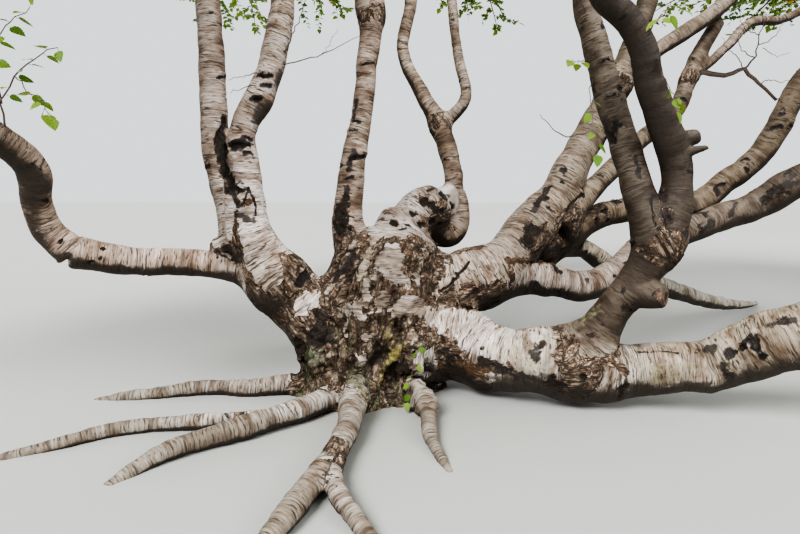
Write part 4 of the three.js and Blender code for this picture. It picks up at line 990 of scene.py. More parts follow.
# Thin bark: fine streaks, the long and short lines of its pores, smudges and blotches
streak = grain_noise(grain, (6, 6, 130), 5, 0.65)
hair = grain_noise(grain, (14, 14, 420), 3, 0.6)
long_line = span(bark, grain_noise(stirred, (5, 5, 90), 2, 0.5), 0.62, 0.66)
short_line = span(bark, grain_noise(grain, (21, 21, 190), 1, 0.5), 0.615, 0.65)
lines = figure("MULTIPLY", figure("MAXIMUM", long_line, short_line), given["Lines"])
blotch = grain_noise(grain, (9, 9, 14), 4, 0.6)
smudge = grain_noise(stirred, (5, 5, 26), 4, 0.6)
mottle = grain_noise(stirred, (3.2, 3.2, 5), 3, 0.55)
fine_light = span(bark, hair, 0.32, 0.62, 0.80, 1.10)
light = figure("MULTIPLY", span(bark, streak, 0.30, 0.70, 0.66, 1.26), fine_light)
level = place_node(bark, "ShaderNodeSeparateColor", {0: given["Tone"]}).outputs[0]
contrast = span(bark, level, 0.03, 0.30, 0.45, 1.0)
light = figure("ADD", 1.0, figure("MULTIPLY", figure("SUBTRACT", light, 1.0), contrast))
grey = place_node(bark, "ShaderNodeCombineColor", {0: light, 1: light, 2: light}).outputs[0]
thin = tint(bark, 1.0, given["Tone"], grey, "MULTIPLY")
thin = shade(span(bark, smudge, 0.48, 0.68, 0.0, 0.80), thin, (0.36, 0.28, 0.24))
thin = shade(span(bark, blotch, 0.50, 0.70, 0.0, 0.80), thin, (0.46, 0.36, 0.31))
thin = shade(span(bark, blotch, 0.47, 0.28, 0.0, 0.90), thin, (1.35, 1.36, 1.38))
thin = shade(span(bark, mottle, 0.52, 0.66, 0.0, 0.70), thin, (0.50, 0.44, 0.41))
thin = tint(bark, figure("MULTIPLY", lines, 0.85), thin, (0.034, 0.025, 0.021, 1))
# Rings on the roots
ring = place_node(bark, "ShaderNodeTexWave", {
    "Vector": vector_figure("MULTIPLY", stirred, (0.25, 0.25, 1.0)), "Scale": 17.0, "Distortion": 3.5,
    "Detail": 3.0, "Detail Scale": 2.5, "Detail Roughness": 0.6},
    wave_type="BANDS", bands_direction="Z", wave_profile="SIN").outputs[1]
broken = span(bark, grain_noise(grain, (26, 26, 30), 2, 0.5), 0.40, 0.60)
ring = figure("MULTIPLY", figure("MULTIPLY", span(bark, ring, 0.78, 0.95), broken), marks[1])
thin = tint(bark, figure("MULTIPLY", ring, 0.85), thin, (0.040, 0.028, 0.022, 1))
# Old bark: lumps and crumbs, paler as they stand out, chips of thin bark, fissures and grooves
crumble = grain_noise(stirred, (95, 95, 48), 4, 0.68)
lump = grain_noise(stirred, (24, 24, 13), 4, 0.62)
chip = grain_noise(stirred, (62, 62, 40), 2, 0.55)
fine_fissure = figure("MULTIPLY", creases(stirred, (52, 52, 24), 0.075), 0.75)
fissure = figure("MAXIMUM", creases(stirred, (19, 19, 7.5), 0.055), fine_fissure)
crust = figure("ADD", figure("MULTIPLY", lump, 0.62), figure("MULTIPLY", crumble, 0.38))
old = place_node(bark, "ShaderNodeValToRGB", {0: crust})
ramp = old.color_ramp
for height, color in (
        (0.36, (0.030, 0.022, 0.018)), (0.44, (0.085, 0.060, 0.046)), (0.52, (0.165, 0.125, 0.100)),
        (0.585, (0.27, 0.225, 0.19)), (0.635, (0.42, 0.37, 0.31))):
    stop = ramp.elements.new(height)
    stop.color = (*color, 1)
ramp.elements.remove(ramp.elements[0])
ramp.elements.remove(ramp.elements[-1])
old = tint(bark, span(bark, blotch, 0.45, 0.68, 0.0, 0.45), old.outputs[0], (0.12, 0.065, 0.042, 1))
old = tint(bark, span(bark, chip, 0.555, 0.60, 0.0, 0.75), old, (0.40, 0.315, 0.27, 1))
# Fissures and grooves darkened nearly to black: painted shade in them, over their dark bark
old = tint(bark, figure("MULTIPLY", fissure, 0.85), old, (0.013, 0.010, 0.008, 1))
old = tint(bark, figure("MULTIPLY", given["Groove"], 0.85), old, (0.012, 0.009, 0.008, 1))
# Where the one lies on the other, its lifted edge casts a dark line: a painted shadow
edge = figure("ADD", marks[0], ragged_edge((34, 34, 46), 4, 0.62, 1.2))
paper = span(bark, edge, -0.03, 0.03)
lip = span(bark, figure("ABSOLUTE", figure("ADD", edge, 0.05)), 0.07, 0.0)
color = tint(bark, paper, old, thin)
color = tint(bark, figure("MULTIPLY", lip, 0.75), color, (0.026, 0.018, 0.014, 1))
# The darker, the browner
darkness = place_node(bark, "ShaderNodeRGBToBW", {0: color}).outputs[0]
color = shade(span(bark, darkness, 0.04, 0.40, 0.60, 0.0), color, (1.0, 0.88, 0.66))
# What lies on the bark, with the painted shade under the limbs and in hollows and valleys
patchy = figure("ADD", given["Stain and shade amount"], ragged_edge((38, 38, 44), 5, 0.65, 1.5))
stain_and_shade_cover = span(bark, given["Stain and shade amount"], 0.0, 0.75)
stain_and_shade_cover = figure("MULTIPLY", span(bark, patchy, 0.30, 0.62), stain_and_shade_cover)
stain_and_shade_color = tint(bark, span(bark, crumble, 0.35, 0.65, 0.35, 0.0), given["Stain and shade"], (0.02, 0.015, 0.012, 1))
color = tint(bark, figure("MULTIPLY", stain_and_shade_cover, 0.96), color, stain_and_shade_color)
lichen = figure("MULTIPLY", marks[2], span(bark, grain_noise(grain, (26, 26, 20), 5, 0.65), 0.50, 0.60))
color = tint(bark, figure("MULTIPLY", lichen, 0.65), color, (0.16, 0.19, 0.10, 1))
# How far each kind stands out
fine_lines = figure("ADD", streak, figure("MULTIPLY", hair, 0.5))
paper_top = figure("ADD", 0.55, figure("MULTIPLY", fine_lines, 0.24))
crust_top = figure("SUBTRACT", figure("ADD", crust, 0.25), figure("MULTIPLY", fissure, 0.55))
old_top = figure("MULTIPLY", crust_top, given["Coarseness"])
raised = place_node(bark, "ShaderNodeMix", data_type="FLOAT")
for key, value in ((0, paper), (2, old_top), (3, paper_top)):
    bark.links.new(value, raised.inputs[key])
raised = figure("SUBTRACT", raised.outputs[0], figure("MULTIPLY", lines, 0.13))
raised = figure("SUBTRACT", raised, figure("MULTIPLY", ring, 0.30))
speck = grain_noise(grain, (160, 160, 160), 2, 0.5)
raised = figure("ADD", raised, figure("MULTIPLY", speck, 0.07))
raised = figure("ADD", raised, figure("MULTIPLY", lichen, 0.12))
given_out = bark.nodes.new("NodeGroupOutput")
dullness = span(bark, paper, 0.0, 1.0, 0.92, 0.66)
for socket, value in (("Color", color), ("Roughness", dullness), ("Height", raised)):
    bark.links.new(value, given_out.inputs[socket])


def bark_finish(name, lines, coarseness):
    finish = bpy.data.materials.new(name)
    finish.use_nodes = True
    tree = finish.node_tree
    shader = tree.nodes["Principled BSDF"]
    grain = place_node(tree, "ShaderNodeAttribute", attribute_name="grain").outputs["Vector"]
    marks = place_node(tree, "ShaderNodeAttribute", attribute_name="marks").outputs["Vector"]
    tone = place_node(tree, "ShaderNodeAttribute", attribute_name="tone").outputs
    stain_and_shade = place_node(tree, "ShaderNodeAttribute", attribute_name="stain_and_shade").outputs
    dressed = place_node(tree, "ShaderNodeGroup", node_tree=bark)
    for key, value in (("Grain", grain), ("Marks", marks), ("Tone", tone["Color"]), ("Groove", tone["Alpha"]),
                       ("Stain and shade", stain_and_shade["Color"]), ("Stain and shade amount", stain_and_shade["Alpha"])):
        tree.links.new(value, dressed.inputs[key])
    dressed.inputs["Lines"].default_value = lines
    dressed.inputs["Coarseness"].default_value = coarseness
    bump = place_node(tree, "ShaderNodeBump", {
        "Strength": 1.0, "Distance": 0.007, "Height": dressed.outputs["Height"]}).outputs[0]
    tree.links.new(dressed.outputs["Color"], shader.inputs["Base Color"])
    tree.links.new(dressed.outputs["Roughness"], shader.inputs["Roughness"])
    tree.links.new(bump, shader.inputs["Normal"])
    shader.inputs["Specular IOR Level"].default_value = 0.3
    return finish


finishes = {
    "trunk_bark": bark_finish("trunk bark", 0.8, 1.3), "bough_bark": bark_finish("bough bark", 1.0, 1.0),
    "root_bark": bark_finish("root bark", 0.5, 1.0)}
for name, piece in wood_pieces.items():
    slot = "trunk_bark" if name == "trunk" else "root_bark" if name in ROOTS else "bough_bark"
    piece.data.materials.append(finishes[slot])
    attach(piece, "root")
    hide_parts(name)


# Foliage: one mass for each bough, in late summer leaf. Its stem runs on from the bough's tip and
# bends up, twigs leave it at the golden turn and rise more the higher they stand, finer twigs leave
# those in the same way, and the leaves stand along them on both sides.
# A mass has the middle of its space and the space's reach, in millimetres.
MASSES = {
    "leaves_left_top": ("bough_left", (-900, 420, 5800), (1150, 1150, 1150)),
    "leaves_left_upper": ("bough_left_outer", (-2050, -450, 4800), (1200, 1200, 1050)),
    "leaves_left_arm": ("arm_left_high", (-3400, -950, 3050), (1150, 1200, 1050)),
    "leaves_top": ("stem_middle", (250, 100, 6200), (1150, 1150, 1050)),
    "leaves_front_left_upper": ("stem_middle_side", (-850, -1450, 4750), (1150, 1150, 1000)),
    "leaves_back_upper": ("crook_stem", (-250, 1700, 4850), (1200, 1150, 1050)),
    "leaves_back": ("crook_stem_side", (800, 2450, 3500), (1150, 1150, 1050)),
    "leaves_right_top": ("bough_right", (2300, 650, 4850), (1150, 1150, 1050)),
    "leaves_right_outer": ("bough_right_outer", (3300, 1050, 4350), (1100, 1150, 1050)),
    "leaves_right_back": ("bough_right_inner_side", (3250, 2250, 3450), (1150, 1150, 1050)),
    "leaves_right": ("limb_right_upper", (4050, 550, 3000), (1100, 1150, 1000)),
    "leaves_right_low": ("limb_right_middle", (4050, -900, 2650), (1100, 1100, 950)),
    "leaves_right_front": ("limb_low", (3050, -1950, 3000), (1150, 1100, 1000)),
    "leaves_front_upper": ("stem_right", (850, -1400, 4550), (1150, 1100, 1050)),
    "leaves_right_upper": ("stem_right_inner", (1650, -350, 5350), (1150, 1100, 1050)),
    "leaves_left_back": ("bough_left_back", (-2350, 1300, 3600), (1150, 1150, 1050)),
    "leaves_left_front": ("bough_left_front", (-1850, -2000, 3450), (1150, 1100, 1000)),
    "leaves_front_right": ("bough_front_right", (1700, -2500, 3300), (1150, 1000, 950)),
    "leaves_back_left": ("bough_back_left", (-1150, 2550, 3400), (1150, 1050, 1000)),
}
TWIGS, SIDE_TWIGS, LEAVES = 33, 14, 17
LEAF_LENGTH, LEAF_WIDTH = 0.058, 0.045
GOLDEN_TURN = math.pi * (3 - math.sqrt(5))
mass_middle = np.array([mass[1] for mass in MASSES.values()]) / 1000
mass_reach = np.array([mass[2] for mass in MASSES.values()]) / 1000
low_corner, high_corner = (np.array(corner) for corner in cad_box)


def has_room(mass, points):
    """Inside the mass's own space, whose outline is dented, on its side of the planes between it
    and the others, where sprays of both reach in among each other a little."""
    out = points - mass_middle[mass]
    dents = noise(points.reshape(-1, 3) * 1.8, 91).reshape(points.shape[:-1])
    inside = np.sqrt(((out / mass_reach[mass]) ** 2).sum(-1)) < 1 - 0.50 * np.maximum(0, dents - 0.05)
    inside &= ((points > low_corner) & (points < high_corner)).all(-1)
    for other in range(len(MASSES)):
        if other != mass:
            away = mass_middle[other] - mass_middle[mass]
            share = mass_reach[mass, 0] / (mass_reach[mass, 0] + mass_reach[other, 0])
            inside &= out @ away < away @ away * share + 0.09
    return inside


wood_points = KDTree(sum(len(limb["line"]) for limb in limbs))
wood_half = np.concatenate([limb["half"] for limb in limbs])
for k, point in enumerate(np.concatenate([limb["line"] for limb in limbs])):
    wood_points.insert(point, k)
wood_points.balance()


def off_the_wood(points, clear):
    """True for points that keep clear of every limb."""
    near = (wood_points.find(point) for point in points)
    return np.array([distance > wood_half[k] + clear for _, k, distance in near])


def unit(vectors):
    return vectors / np.maximum(np.linalg.norm(vectors, axis=-1, keepdims=True), 1e-9)


def shrink_to_room(mass, roots, along, length, least, step):
    """Shortens each twig until its tip has room; where none is left its length is nothing."""
    for _ in range(24):
        shut = (length > 0) & ~has_room(mass, roots + along * length[:, None])
        length = np.where(shut, length - step, length)
        length[length < least] = 0
    return length


def twig_tubes(paths, radii, sides):
    """Corners and faces of thin closed tubes along the paths."""
    count, steps = paths.shape[:2]
    heading = unit(np.gradient(paths, axis=1))
    across = np.cross(heading[:, :1], (0.31, 0.17, 0.93))
    across = unit(across - heading * (across * heading).sum(-1, keepdims=True))
    aside = np.cross(heading, across)
    turn = np.arange(sides) / sides * math.tau
    ring = across[:, :, None] * np.cos(turn)[:, None] + aside[:, :, None] * np.sin(turn)[:, None]
    co = (paths[:, :, None] + ring * radii[:, :, None, None]).reshape(-1, 3)
    at = np.arange(count * steps * sides).reshape(count, steps, sides)
    beside = np.roll(at, -1, axis=2)
    walls = np.stack([at[:, :-1], beside[:, :-1], beside[:, 1:], at[:, 1:]], -1).reshape(-1, 4)
    ends = np.concatenate([at[:, 0, ::-1], at[:, -1]])
    return co, walls, ends


def leaf_blades(roots, along, face, length, width):
    """Leaves of six faces each: a rhombic outline, folded a little along the middle."""
    side = unit(np.cross(along, face))
    up = np.cross(side, along)
    outline = ((0, 0, 0), (0.5, 0.30, 0.10), (0.40, 0.58, 0.07), (0, 1, -0.06), (-0.40, 0.58, 0.07),
               (-0.5, 0.30, 0.10), (0, 0.45, -0.02))
    co = np.stack([
        roots + side * (x * width)[:, None] + along * (y * length)[:, None] + up * (z * width)[:, None]
        for x, y, z in outline], 1)
    first = np.arange(len(roots))[:, None, None] * 7
    fan = np.array([(0, 1, 6), (1, 2, 6), (2, 3, 6), (3, 4, 6), (4, 5, 6), (5, 0, 6)])
    return co.reshape(-1, 3), (first + fan).reshape(-1, 3)


# Plain greens of late summer, dealt out by spray, with a few leaves already yellow
leaf_greens = []
for k, green in enumerate(((0.20, 0.33, 0.045), (0.135, 0.25, 0.035), (0.27, 0.39, 0.06), (0.095, 0.19, 0.03),
                           (0.48, 0.40, 0.06))):
    green_leaf = bpy.data.materials.new("leaf green " + str(k + 1))
    green_leaf.use_nodes = True
    tree = green_leaf.node_tree
    shader = tree.nodes["Principled BSDF"]
    shader.inputs["Base Color"].default_value = (*green, 1)
    shader.inputs["Specular IOR Level"].default_value = 0.35
    place = place_node(tree, "ShaderNodeTexCoord").outputs["Object"]
    vein = place_node(tree, "ShaderNodeTexNoise", {"Vector": place, "Scale": 160.0, "Detail": 2.0}).outputs[0]
    tree.links.new(span(tree, vein, 0.3, 0.7, 0.42, 0.62), shader.inputs["Roughness"])
    bump = place_node(tree, "ShaderNodeBump", {"Strength": 0.35, "Distance": 0.001, "Height": vein})
    tree.links.new(bump.outputs[0], shader.inputs["Normal"])
    leaf_greens.append(green_leaf)

# Twig bark, dark red brown with pale specks
twig_bark = bpy.data.materials.new("twig bark")
twig_bark.use_nodes = True
tree = twig_bark.node_tree
shader = tree.nodes["Principled BSDF"]
place = place_node(tree, "ShaderNodeTexCoord").outputs["Object"]
patch = place_node(tree, "ShaderNodeTexNoise", {"Vector": place, "Scale": 9.0, "Detail": 3.0}).outputs[0]
speck = place_node(tree, "ShaderNodeTexNoise", {"Vector": place, "Scale": 240.0, "Detail": 1.0}).outputs[0]
brown = tint(tree, span(tree, patch, 0.35, 0.65), (0.085, 0.050, 0.040, 1), (0.17, 0.125, 0.11, 1))
brown = tint(tree, span(tree, speck, 0.62, 0.70, 0.0, 0.6), brown, (0.42, 0.37, 0.33, 1))
tree.links.new(brown, shader.inputs["Base Color"])
tree.links.new(span(tree, patch, 0.3, 0.7, 0.5, 0.75), shader.inputs["Roughness"])
bump = place_node(tree, "ShaderNodeBump", {"Strength": 0.5, "Distance": 0.002, "Height": speck})
tree.links.new(bump.outputs[0], shader.inputs["Normal"])

ends_of = {limb["name"]: limb for limb in limbs}
for mass, (name, (bough, middle, reach)) in enumerate(MASSES.items()):
    rng = np.random.default_rng(401 + 17 * mass)
    # The stem
    tip = ends_of[bough]["line"][-1]
    heading = unit(tip - ends_of[bough]["line"][-4])
    bend = tip + heading * 0.8 * np.linalg.norm(tip - mass_middle[mass])
    top = mass_middle[mass] + (0, 0, 0.62 * mass_reach[mass, 2])
    share = np.linspace(0, 1, 40)[:, None]
    stem = (1 - share) ** 2 * tip + 2 * share * (1 - share) * bend + share ** 2 * top
    stem_girth = ends_of[bough]["half"][-1] * np.interp(share[:, 0], (0, 0.7, 1), (0.97, 0.42, 0.12))
    # Twigs along the stem
    at = np.linspace(0.04, 1, TWIGS) ** 0.9
    k = np.rint(at * 39).astype(int)
    turn = np.arange(TWIGS) * GOLDEN_TURN + 0.8 * rng.random(TWIGS)
    rise = 0.3 * rng.random(TWIGS) + 0.5 * at
    upward = unit(np.gradient(stem, axis=0))[k]
    along = np.stack([np.cos(turn), np.sin(turn), 0 * turn], 1)
    along = unit(along - upward * (along * upward).sum(1)[:, None]) + upward * rise[:, None]
    along[:, 2] -= 0.3 * (1 - at)
    along = unit(along)
    length = shrink_to_room(mass, stem[k], along, 1.08 * (0.8 + 0.35 * rng.random(TWIGS)), 0.16, 0.04)
    grown = length > 0
    k, along, length = k[grown], along[grown], length[grown]
    s = np.linspace(0, 1, 9)[:, None]
    arch = np.stack([
        rng.normal(0, 0.06, len(k)), rng.normal(0, 0.06, len(k)), 0.02 + 0.10 * rng.random(len(k))], 1)
    twigs = stem[k][:, None] + along[:, None] * (length[:, None, None] * s)
    twigs = twigs + (arch * length[:, None])[:, None] * (s * (s - 1) * -2)
    girth = (0.006 + 0.008 * length[:, None] * (1 - 0.4 * at[grown][:, None])) * (1 - 0.75 * s[:, 0])
    # Finer twigs along those
    where = np.linspace(0.16, 1, SIDE_TWIGS)
    j = np.arange(SIDE_TWIGS)
    roots = np.stack([
        np.stack([np.interp(where, s[:, 0], path[:, c]) for c in range(3)], 1) for path in twigs])
    axis = unit(np.gradient(twigs, axis=1))[:, np.rint(where * 8).astype(int)]
    flat = unit(np.cross(axis, (0, 0, 1)) + 1e-6)
    over = np.cross(flat, axis)
    spin = j * GOLDEN_TURN + rng.uniform(0, 6, (len(k), 1))
    lean = np.where(where > 0.97, 0.1, 1.0)[None, :, None]
    out = axis * 0.62 + lean * (flat * np.cos(spin)[..., None] + over * np.sin(spin)[..., None] * 0.75)
    out[..., 2] += 0.08
    out = unit(out).reshape(-1, 3)
    roots = roots.reshape(-1, 3)
    fine = np.tile(0.46 * (1 - 0.42 * where), len(k)) * rng.uniform(0.7, 1.25, len(roots))
    fine = shrink_to_room(mass, roots, out, fine, 0.07, 0.03)
    open_air = off_the_wood(roots + out * (fine * 0.7)[:, None], 0.03)
    kept = (fine > 0) & open_air
    roots, out, fine = roots[kept], out[kept], fine[kept]
    u = np.linspace(0, 1, 5)[:, None]
    sag = rng.normal(0, 0.05, (len(fine), 3)) + (0, 0, -0.10)
    shoots = roots[:, None] + out[:, None] * (fine[:, None, None] * u)
    shoots = shoots + (sag * fine[:, None])[:, None] * u ** 2
    shoot_girth = (0.0022 + 0.004 * fine[:, None]) * (1 - 0.65 * u[:, 0])
    # Leaves on both sides of the finer twigs
    w = np.linspace(0.10, 1, LEAVES)
    before = (w * 4).astype(int)
    beyond = (w * 4 - before)[None, :, None]
    foot = (1 - beyond) * shoots[:, before] + beyond * shoots[:, np.minimum(4, before + 1)]
    side = unit(np.cross(out, (0, 0, 1)) + 1e-6)
    hand = np.where(np.arange(LEAVES) % 2, 1, -1)[None, :, None]
    last = (np.arange(LEAVES) == LEAVES - 1)[None, :, None]
    leafward = out[:, None] * 0.55 + np.where(last, 0.1, hand) * side[:, None]
    leafward = unit(leafward + rng.normal(0, 0.32, leafward.shape) + (0, 0, -0.12))
    face = unit(rng.normal(0, 0.42, leafward.shape) + (0, 0, 1))
    size = rng.uniform(0.74, 1.18, leafward.shape[:2]) * (1 - 0.25 * np.abs(w - 0.5))
    tone_of_spray = rng.choice(5, len(fine), p=(0.36, 0.26, 0.22, 0.13, 0.03))
    tone_of_leaf = np.repeat(tone_of_spray, LEAVES)
    stray = rng.random(len(tone_of_leaf))
    tone_of_leaf[stray < 0.012] = 4
    foot, leafward, face = (values.reshape(-1, 3) for values in (foot, leafward, face))
    size = size.ravel()
    kept = has_room(mass, foot + leafward * (size * LEAF_LENGTH)[:, None])
    co, faces = leaf_blades(
        foot[kept], leafward[kept], face[kept], size[kept] * LEAF_LENGTH, size[kept] * LEAF_WIDTH)
    blades = build_piece(name + "_leaves", [faces], co, None, {})
    blades.data.polygons.foreach_set("material_index", np.repeat(tone_of_leaf[kept], 6).astype(np.int32))
    blades.data.polygons.foreach_set("use_smooth", np.zeros(len(faces), bool))
    for green_leaf in leaf_greens:
        blades.data.materials.append(green_leaf)
    cos, walls, ends, shift = [], [], [], 0
    for paths, radii, sides in (
            (stem[None], stem_girth[None], 10), (twigs, girth, 5), (shoots, shoot_girth, 3)):
        co, wall, end = twig_tubes(paths, radii, sides)
        cos.append(co)
        walls.append(wall + shift)
        ends.append(end + shift)
        shift += len(co)
    co = np.vstack(cos)
    stem_faces = len(walls[0])
    woody = np.zeros((len(co), 3))
    woody[:len(cos[0])] = cos[0] - np.repeat(stem, 10, axis=0)
    woody[:len(cos[0]), 2] = np.repeat(share[:, 0] * 1.6, 10)
    pieces = build_piece(name + "_twigs", [np.vstack(walls), *ends], co, None, {
        "grain": ("FLOAT_VECTOR", "vector", woody + mass * 3.7),
        "marks": ("FLOAT_VECTOR", "vector", np.tile((0.5, 0, 0), (len(co), 1))),
        "tone": ("FLOAT_COLOR", "color", np.tile((0.36, 0.30, 0.27, 0), (len(co), 1))),
        "stain_and_shade": ("FLOAT_COLOR", "color", np.zeros((len(co), 4)))})
    pieces.data.materials.append(finishes["bough_bark"])
    pieces.data.materials.append(twig_bark)
    index = np.ones(len(pieces.data.polygons), np.int32)
    index[:stem_faces] = 0
    pieces.data.polygons.foreach_set("material_index", index)
    for piece, slot in ((blades, "foliage"), (pieces, "bough_bark")):
        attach(piece, "root")
        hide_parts(name)


# Low shoots and dead twigs: thin brown twigs on the boughs near the eye, most of them dead and
# bare, and a few with leaves. Here the leaves are near enough to show their toothed edges.
# A shoot has its half widths at foot and tip, its leaves, their length and its line, in millimetres.
LOW_SHOOTS = [
    (4, 1.5, 0, 0, (1260, 389, 1332), (1113, 358, 1306), (1030, 348, 1348), (950, 328, 1416)),
    (3, 1, 0, 0, (-458, -112, 1536), (-499, -174, 1521), (-545, -204, 1501), (-585, -224, 1484)),
    (2.5, 1, 0, 0, (-481, -121, 1482), (-519, -172, 1468), (-557, -202, 1449), (-589, -232, 1430)),
    (3.5, 1.5, 0, 0, (-384, -60, 1633), (-329, -84, 1717), (-288, -94, 1790), (-243, -104, 1883)),
    (3, 1, 0, 0, (-389, -50, 1588), (-247, -83, 1614), (-101, -123, 1657), (22, -153, 1710)),
    (1.5, 0.8, 0, 0, (-188, -103, 1627), (-147, -123, 1675), (-106, -153, 1719)),
    (17, 8, 0, 0, (1983, 655, 1716), (2039, 635, 1709), (2095, 625, 1696), (2172, 615, 1705),
     (2223, 595, 1723),
     (2268, 585, 1675), (2313, 585, 1635), (2414, 565, 1545)),
    (6, 2, 0, 0, (2223, 595, 1723), (2250, 585, 1761), (2265, 575, 1787), (2276, 565, 1857),
     (2268, 545, 1924),
     (2295, 525, 1990)),
    (3, 1, 0, 0, (2265, 575, 1787), (2178, 555, 1821), (2144, 545, 1885), (2167, 525, 1935)),
    (3, 1, 0, 0, (2276, 565, 1857), (2357, 585, 1885), (2418, 595, 1945), (2436, 605, 2015)),
    (2.5, 1, 0, 0, (2277, 555, 1905), (2186, 525, 1924), (2129, 515, 1975), (2129, 505, 2037)),
    (3, 1, 0, 0, (2223, 595, 1723), (2201, 625, 1794), (2149, 645, 1845), (2120, 665, 1920)),
    (3, 1, 0, 0, (2313, 585, 1635), (2352, 565, 1654), (2429, 555, 1640), (2496, 545, 1661)),
    (2, 1, 0, 0, (2307, 565, 1835), (2392, 555, 1787), (2453, 545, 1807)),
    (4, 1.5, 0, 0, (2414, 565, 1545), (2463, 555, 1514), (2496, 545, 1467)),
    (2.2, 1, 6, 48, (1027, -279, 1505), (985, -343, 1417), (974, -423, 1313), (973, -473, 1225),
     (974, -503, 1143)),
    (2, 1, 3, 44, (1018, -287, 1564), (950, -344, 1532), (895, -384, 1530)),
    (3, 1.2, 5, 48, (982, -276, 1760), (928, -327, 1787), (887, -347, 1820), (837, -367, 1871)),
    (3, 1.5, 4, 66, (1139, -528, 1594), (1133, -618, 1607), (1129, -678, 1615), (1144, -718, 1622)),
    (2, 1, 4, 46, (1196, -505, 1466), (1228, -535, 1401), (1240, -565, 1343), (1236, -595, 1293)),
    (1.8, 0.9, 7, 40, (293, -235, 384), (297, -330, 362), (265, -363, 286), (242, -383, 208),
     (223, -393, 126),
     (209, -393, 49)),
    (4, 1.6, 9, 52, (-1341, -598, 1211), (-1309, -649, 1306), (-1220, -699, 1395), (-1109, -749, 1445),
     (-1010, -779, 1477)),
    (2, 1, 7, 50, (-1220, -699, 1395), (-1146, -739, 1338), (-1074, -779, 1286), (-1030, -799, 1239)),
    (3, 1.2, 9, 52, (-1309, -649, 1306), (-1305, -699, 1409), (-1252, -739, 1502), (-1161, -779, 1556),
     (-1076, -799, 1595)),
]
RIB = [(0.0, 0.0), (0.25, -0.01), (0.50, -0.02), (0.75, -0.05), (1.0, -0.12)]
EDGE = [(0.20, 0.04), (0.42, 0.13), (0.40, 0.19), (0.50, 0.29), (0.45, 0.35), (0.47, 0.45), (0.39, 0.51),
        (0.38, 0.61), (0.28, 0.68), (0.26, 0.77), (0.13, 0.86)]


def toothed_leaf(foot, along, face, length):
    """Corners and faces of one leaf: a pointed, toothed outline folded along its midrib."""
    side = unit(np.cross(along, face))
    up = np.cross(side, along)
    outline = [(0, y, z) for y, z in RIB]
    for hand in (1, -1):
        outline += [(hand * x * 0.85, y, 0.10 * x - 0.12 * y ** 3) for x, y in EDGE]
    co = [foot + (side * x + along * y + up * z) * length for x, y, z in outline]
    faces = []
    for first, turned in ((5, 1), (16, -1)):
        rib, edge = 0, 0
        while rib < 4 or edge < 10:
            if edge < 10 and (rib == 4 or EDGE[edge + 1][1] <= RIB[rib + 1][0]):
                faces.append((rib, first + edge, first + edge + 1)[::turned])
                edge += 1
            else:
                faces.append((rib, first + edge, rib + 1)[::turned])
                rib += 1
    return co, faces


rng = np.random.default_rng(907)
shares = np.linspace(0, 1, 13)
paths, radii, co, faces, greens = [], [], [], [], []
for foot_half, tip_half, leaves, length, *stops in LOW_SHOOTS:
    path = line_through(np.array(stops, float) / 1000, shares)
    path[1:] += rng.normal(0, 0.004, (12, 3))
    paths.append(path)
    radii.append((foot_half + (tip_half - foot_half) * shares) / 1000)
    for k in range(leaves):
        at = 12 * (0.25 + 0.75 * (k + 1) / leaves)
        low = min(int(at), 11)
        foot = path[low] + (path[low + 1] - path[low]) * (at - low)
        ahead = unit(path[low + 1] - path[low])
        side = unit(np.cross(ahead, (0, 0, 1))) * (1 if k % 2 else -1)
        sideways = side * (0.8 if k < leaves - 1 else 0.1)
        along = unit(ahead * 0.4 + sideways + rng.normal(0, 0.25, 3) - (0, 0, 0.35))
        stalk = foot + np.outer(shares, along * 0.28 * length / 1000)
        paths.append(stalk)
        radii.append(np.full(13, 0.0007))
        size = rng.uniform(0.75, 1.1) * length / 1000
        face = unit(rng.normal(0, 0.35, 3) + (0.05, -0.5, 0.8))
        blade, triangles = toothed_leaf(stalk[-1], along, face, size)
        faces += [tuple(i + len(co) for i in triangle) for triangle in triangles]
        co += blade
        greens += [(0, 2, 0, 1)[rng.integers(4)]] * len(triangles)
blades = build_piece("low_shoot_leaves", [np.array(faces)], np.array(co), None, {})
blades.data.polygons.foreach_set("material_index", np.array(greens, np.int32))
blades.data.polygons.foreach_set("use_smooth", np.zeros(len(faces), bool))
for green_leaf in leaf_greens:
    blades.data.materials.append(green_leaf)
co, walls, ends = twig_tubes(np.array(paths), np.array(radii), 6)
low_twigs = build_piece("low_shoot_twigs", [walls, ends], co, None, {})
low_twigs.data.materials.append(twig_bark)
for piece, slot in ((blades, "foliage"), (low_twigs, "bough_bark")):
    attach(piece, "root")


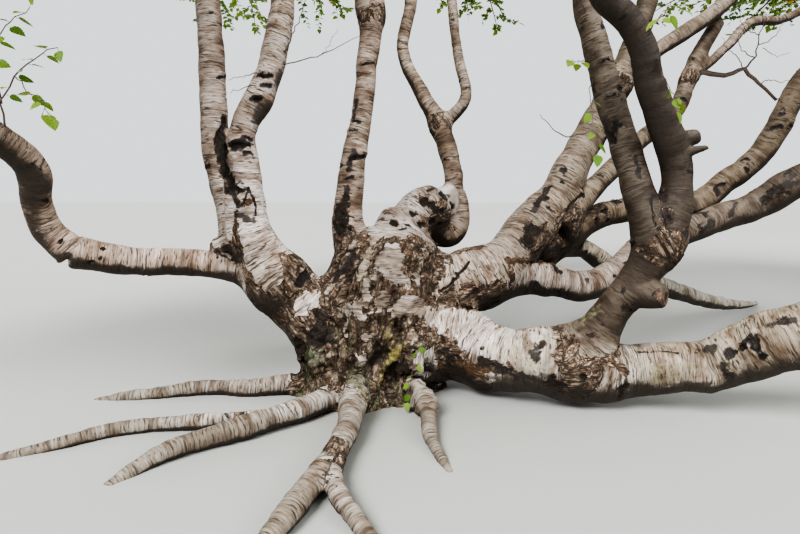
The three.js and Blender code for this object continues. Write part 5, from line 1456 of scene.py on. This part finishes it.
# Floor and light: a plain pale floor that runs out of sight, an even pale sky, two soft suns from the
# front and the back on the left, and two square lamps, one on the right and one over the wood alone.
bpy.ops.object.select_all(action="DESELECT")
bpy.ops.mesh.primitive_circle_add(vertices=96, radius=300, fill_type="NGON", location=(0, 0, 0))
floor = bpy.context.object
floor.name = "floor"
pale = bpy.data.materials.new("pale floor")
pale.use_nodes = True
pale.node_tree.nodes["Principled BSDF"].inputs["Base Color"].default_value = (0.62, 0.62, 0.60, 1)
pale.node_tree.nodes["Principled BSDF"].inputs["Roughness"].default_value = 0.9
floor.data.materials.append(pale)
sky = bpy.data.worlds.new("sky")
sky.use_nodes = True
tree = sky.node_tree
seen = place_node(tree, "ShaderNodeLightPath").outputs["Is Camera Ray"]
tree.links.new(span(tree, seen, 0.0, 1.0, 0.38, 0.85), tree.nodes["Background"].inputs["Strength"])
tree.nodes["Background"].inputs["Color"].default_value = (0.90, 0.92, 0.94, 1)
scene.world = sky
under_crown = bpy.data.collections.new("under the crown")
scene.collection.children.link(under_crown)
for piece in wood_pieces.values():
    under_crown.objects.link(piece)
for place, power, width in (((-6, -8, 9), 2.9, 28), ((-5, 9, 8), 0.8, 50)):
    bpy.ops.object.light_add(type="SUN", location=place)
    sun = bpy.context.object
    sun.data.energy = power
    sun.data.angle = math.radians(width)
    sun.rotation_euler = (Vector((0, 0, 0)) - sun.location).to_track_quat("-Z", "Y").to_euler()
for place, aim, size, power, wood_only in (
        ((9.0, -6.0, 6.0), (0.5, 0, 2.4), 6.0, 500, False),
        ((1.8, -2.6, 6.5), (0.35, -0.1, 0.5), 3.4, 640, True)):
    bpy.ops.object.light_add(type="AREA", location=place)
    lamp = bpy.context.object
    lamp.data.size = size
    lamp.data.energy = power
    lamp.rotation_euler = (Vector(aim) - Vector(place)).to_track_quat("-Z", "Y").to_euler()
    if wood_only:
        lamp.light_linking.receiver_collection = under_crown
        lamp.light_linking.blocker_collection = under_crown

scene.view_settings.view_transform = "AgX"
scene.view_settings.look = "AgX - High Contrast"
scene.view_settings.exposure = 0.2
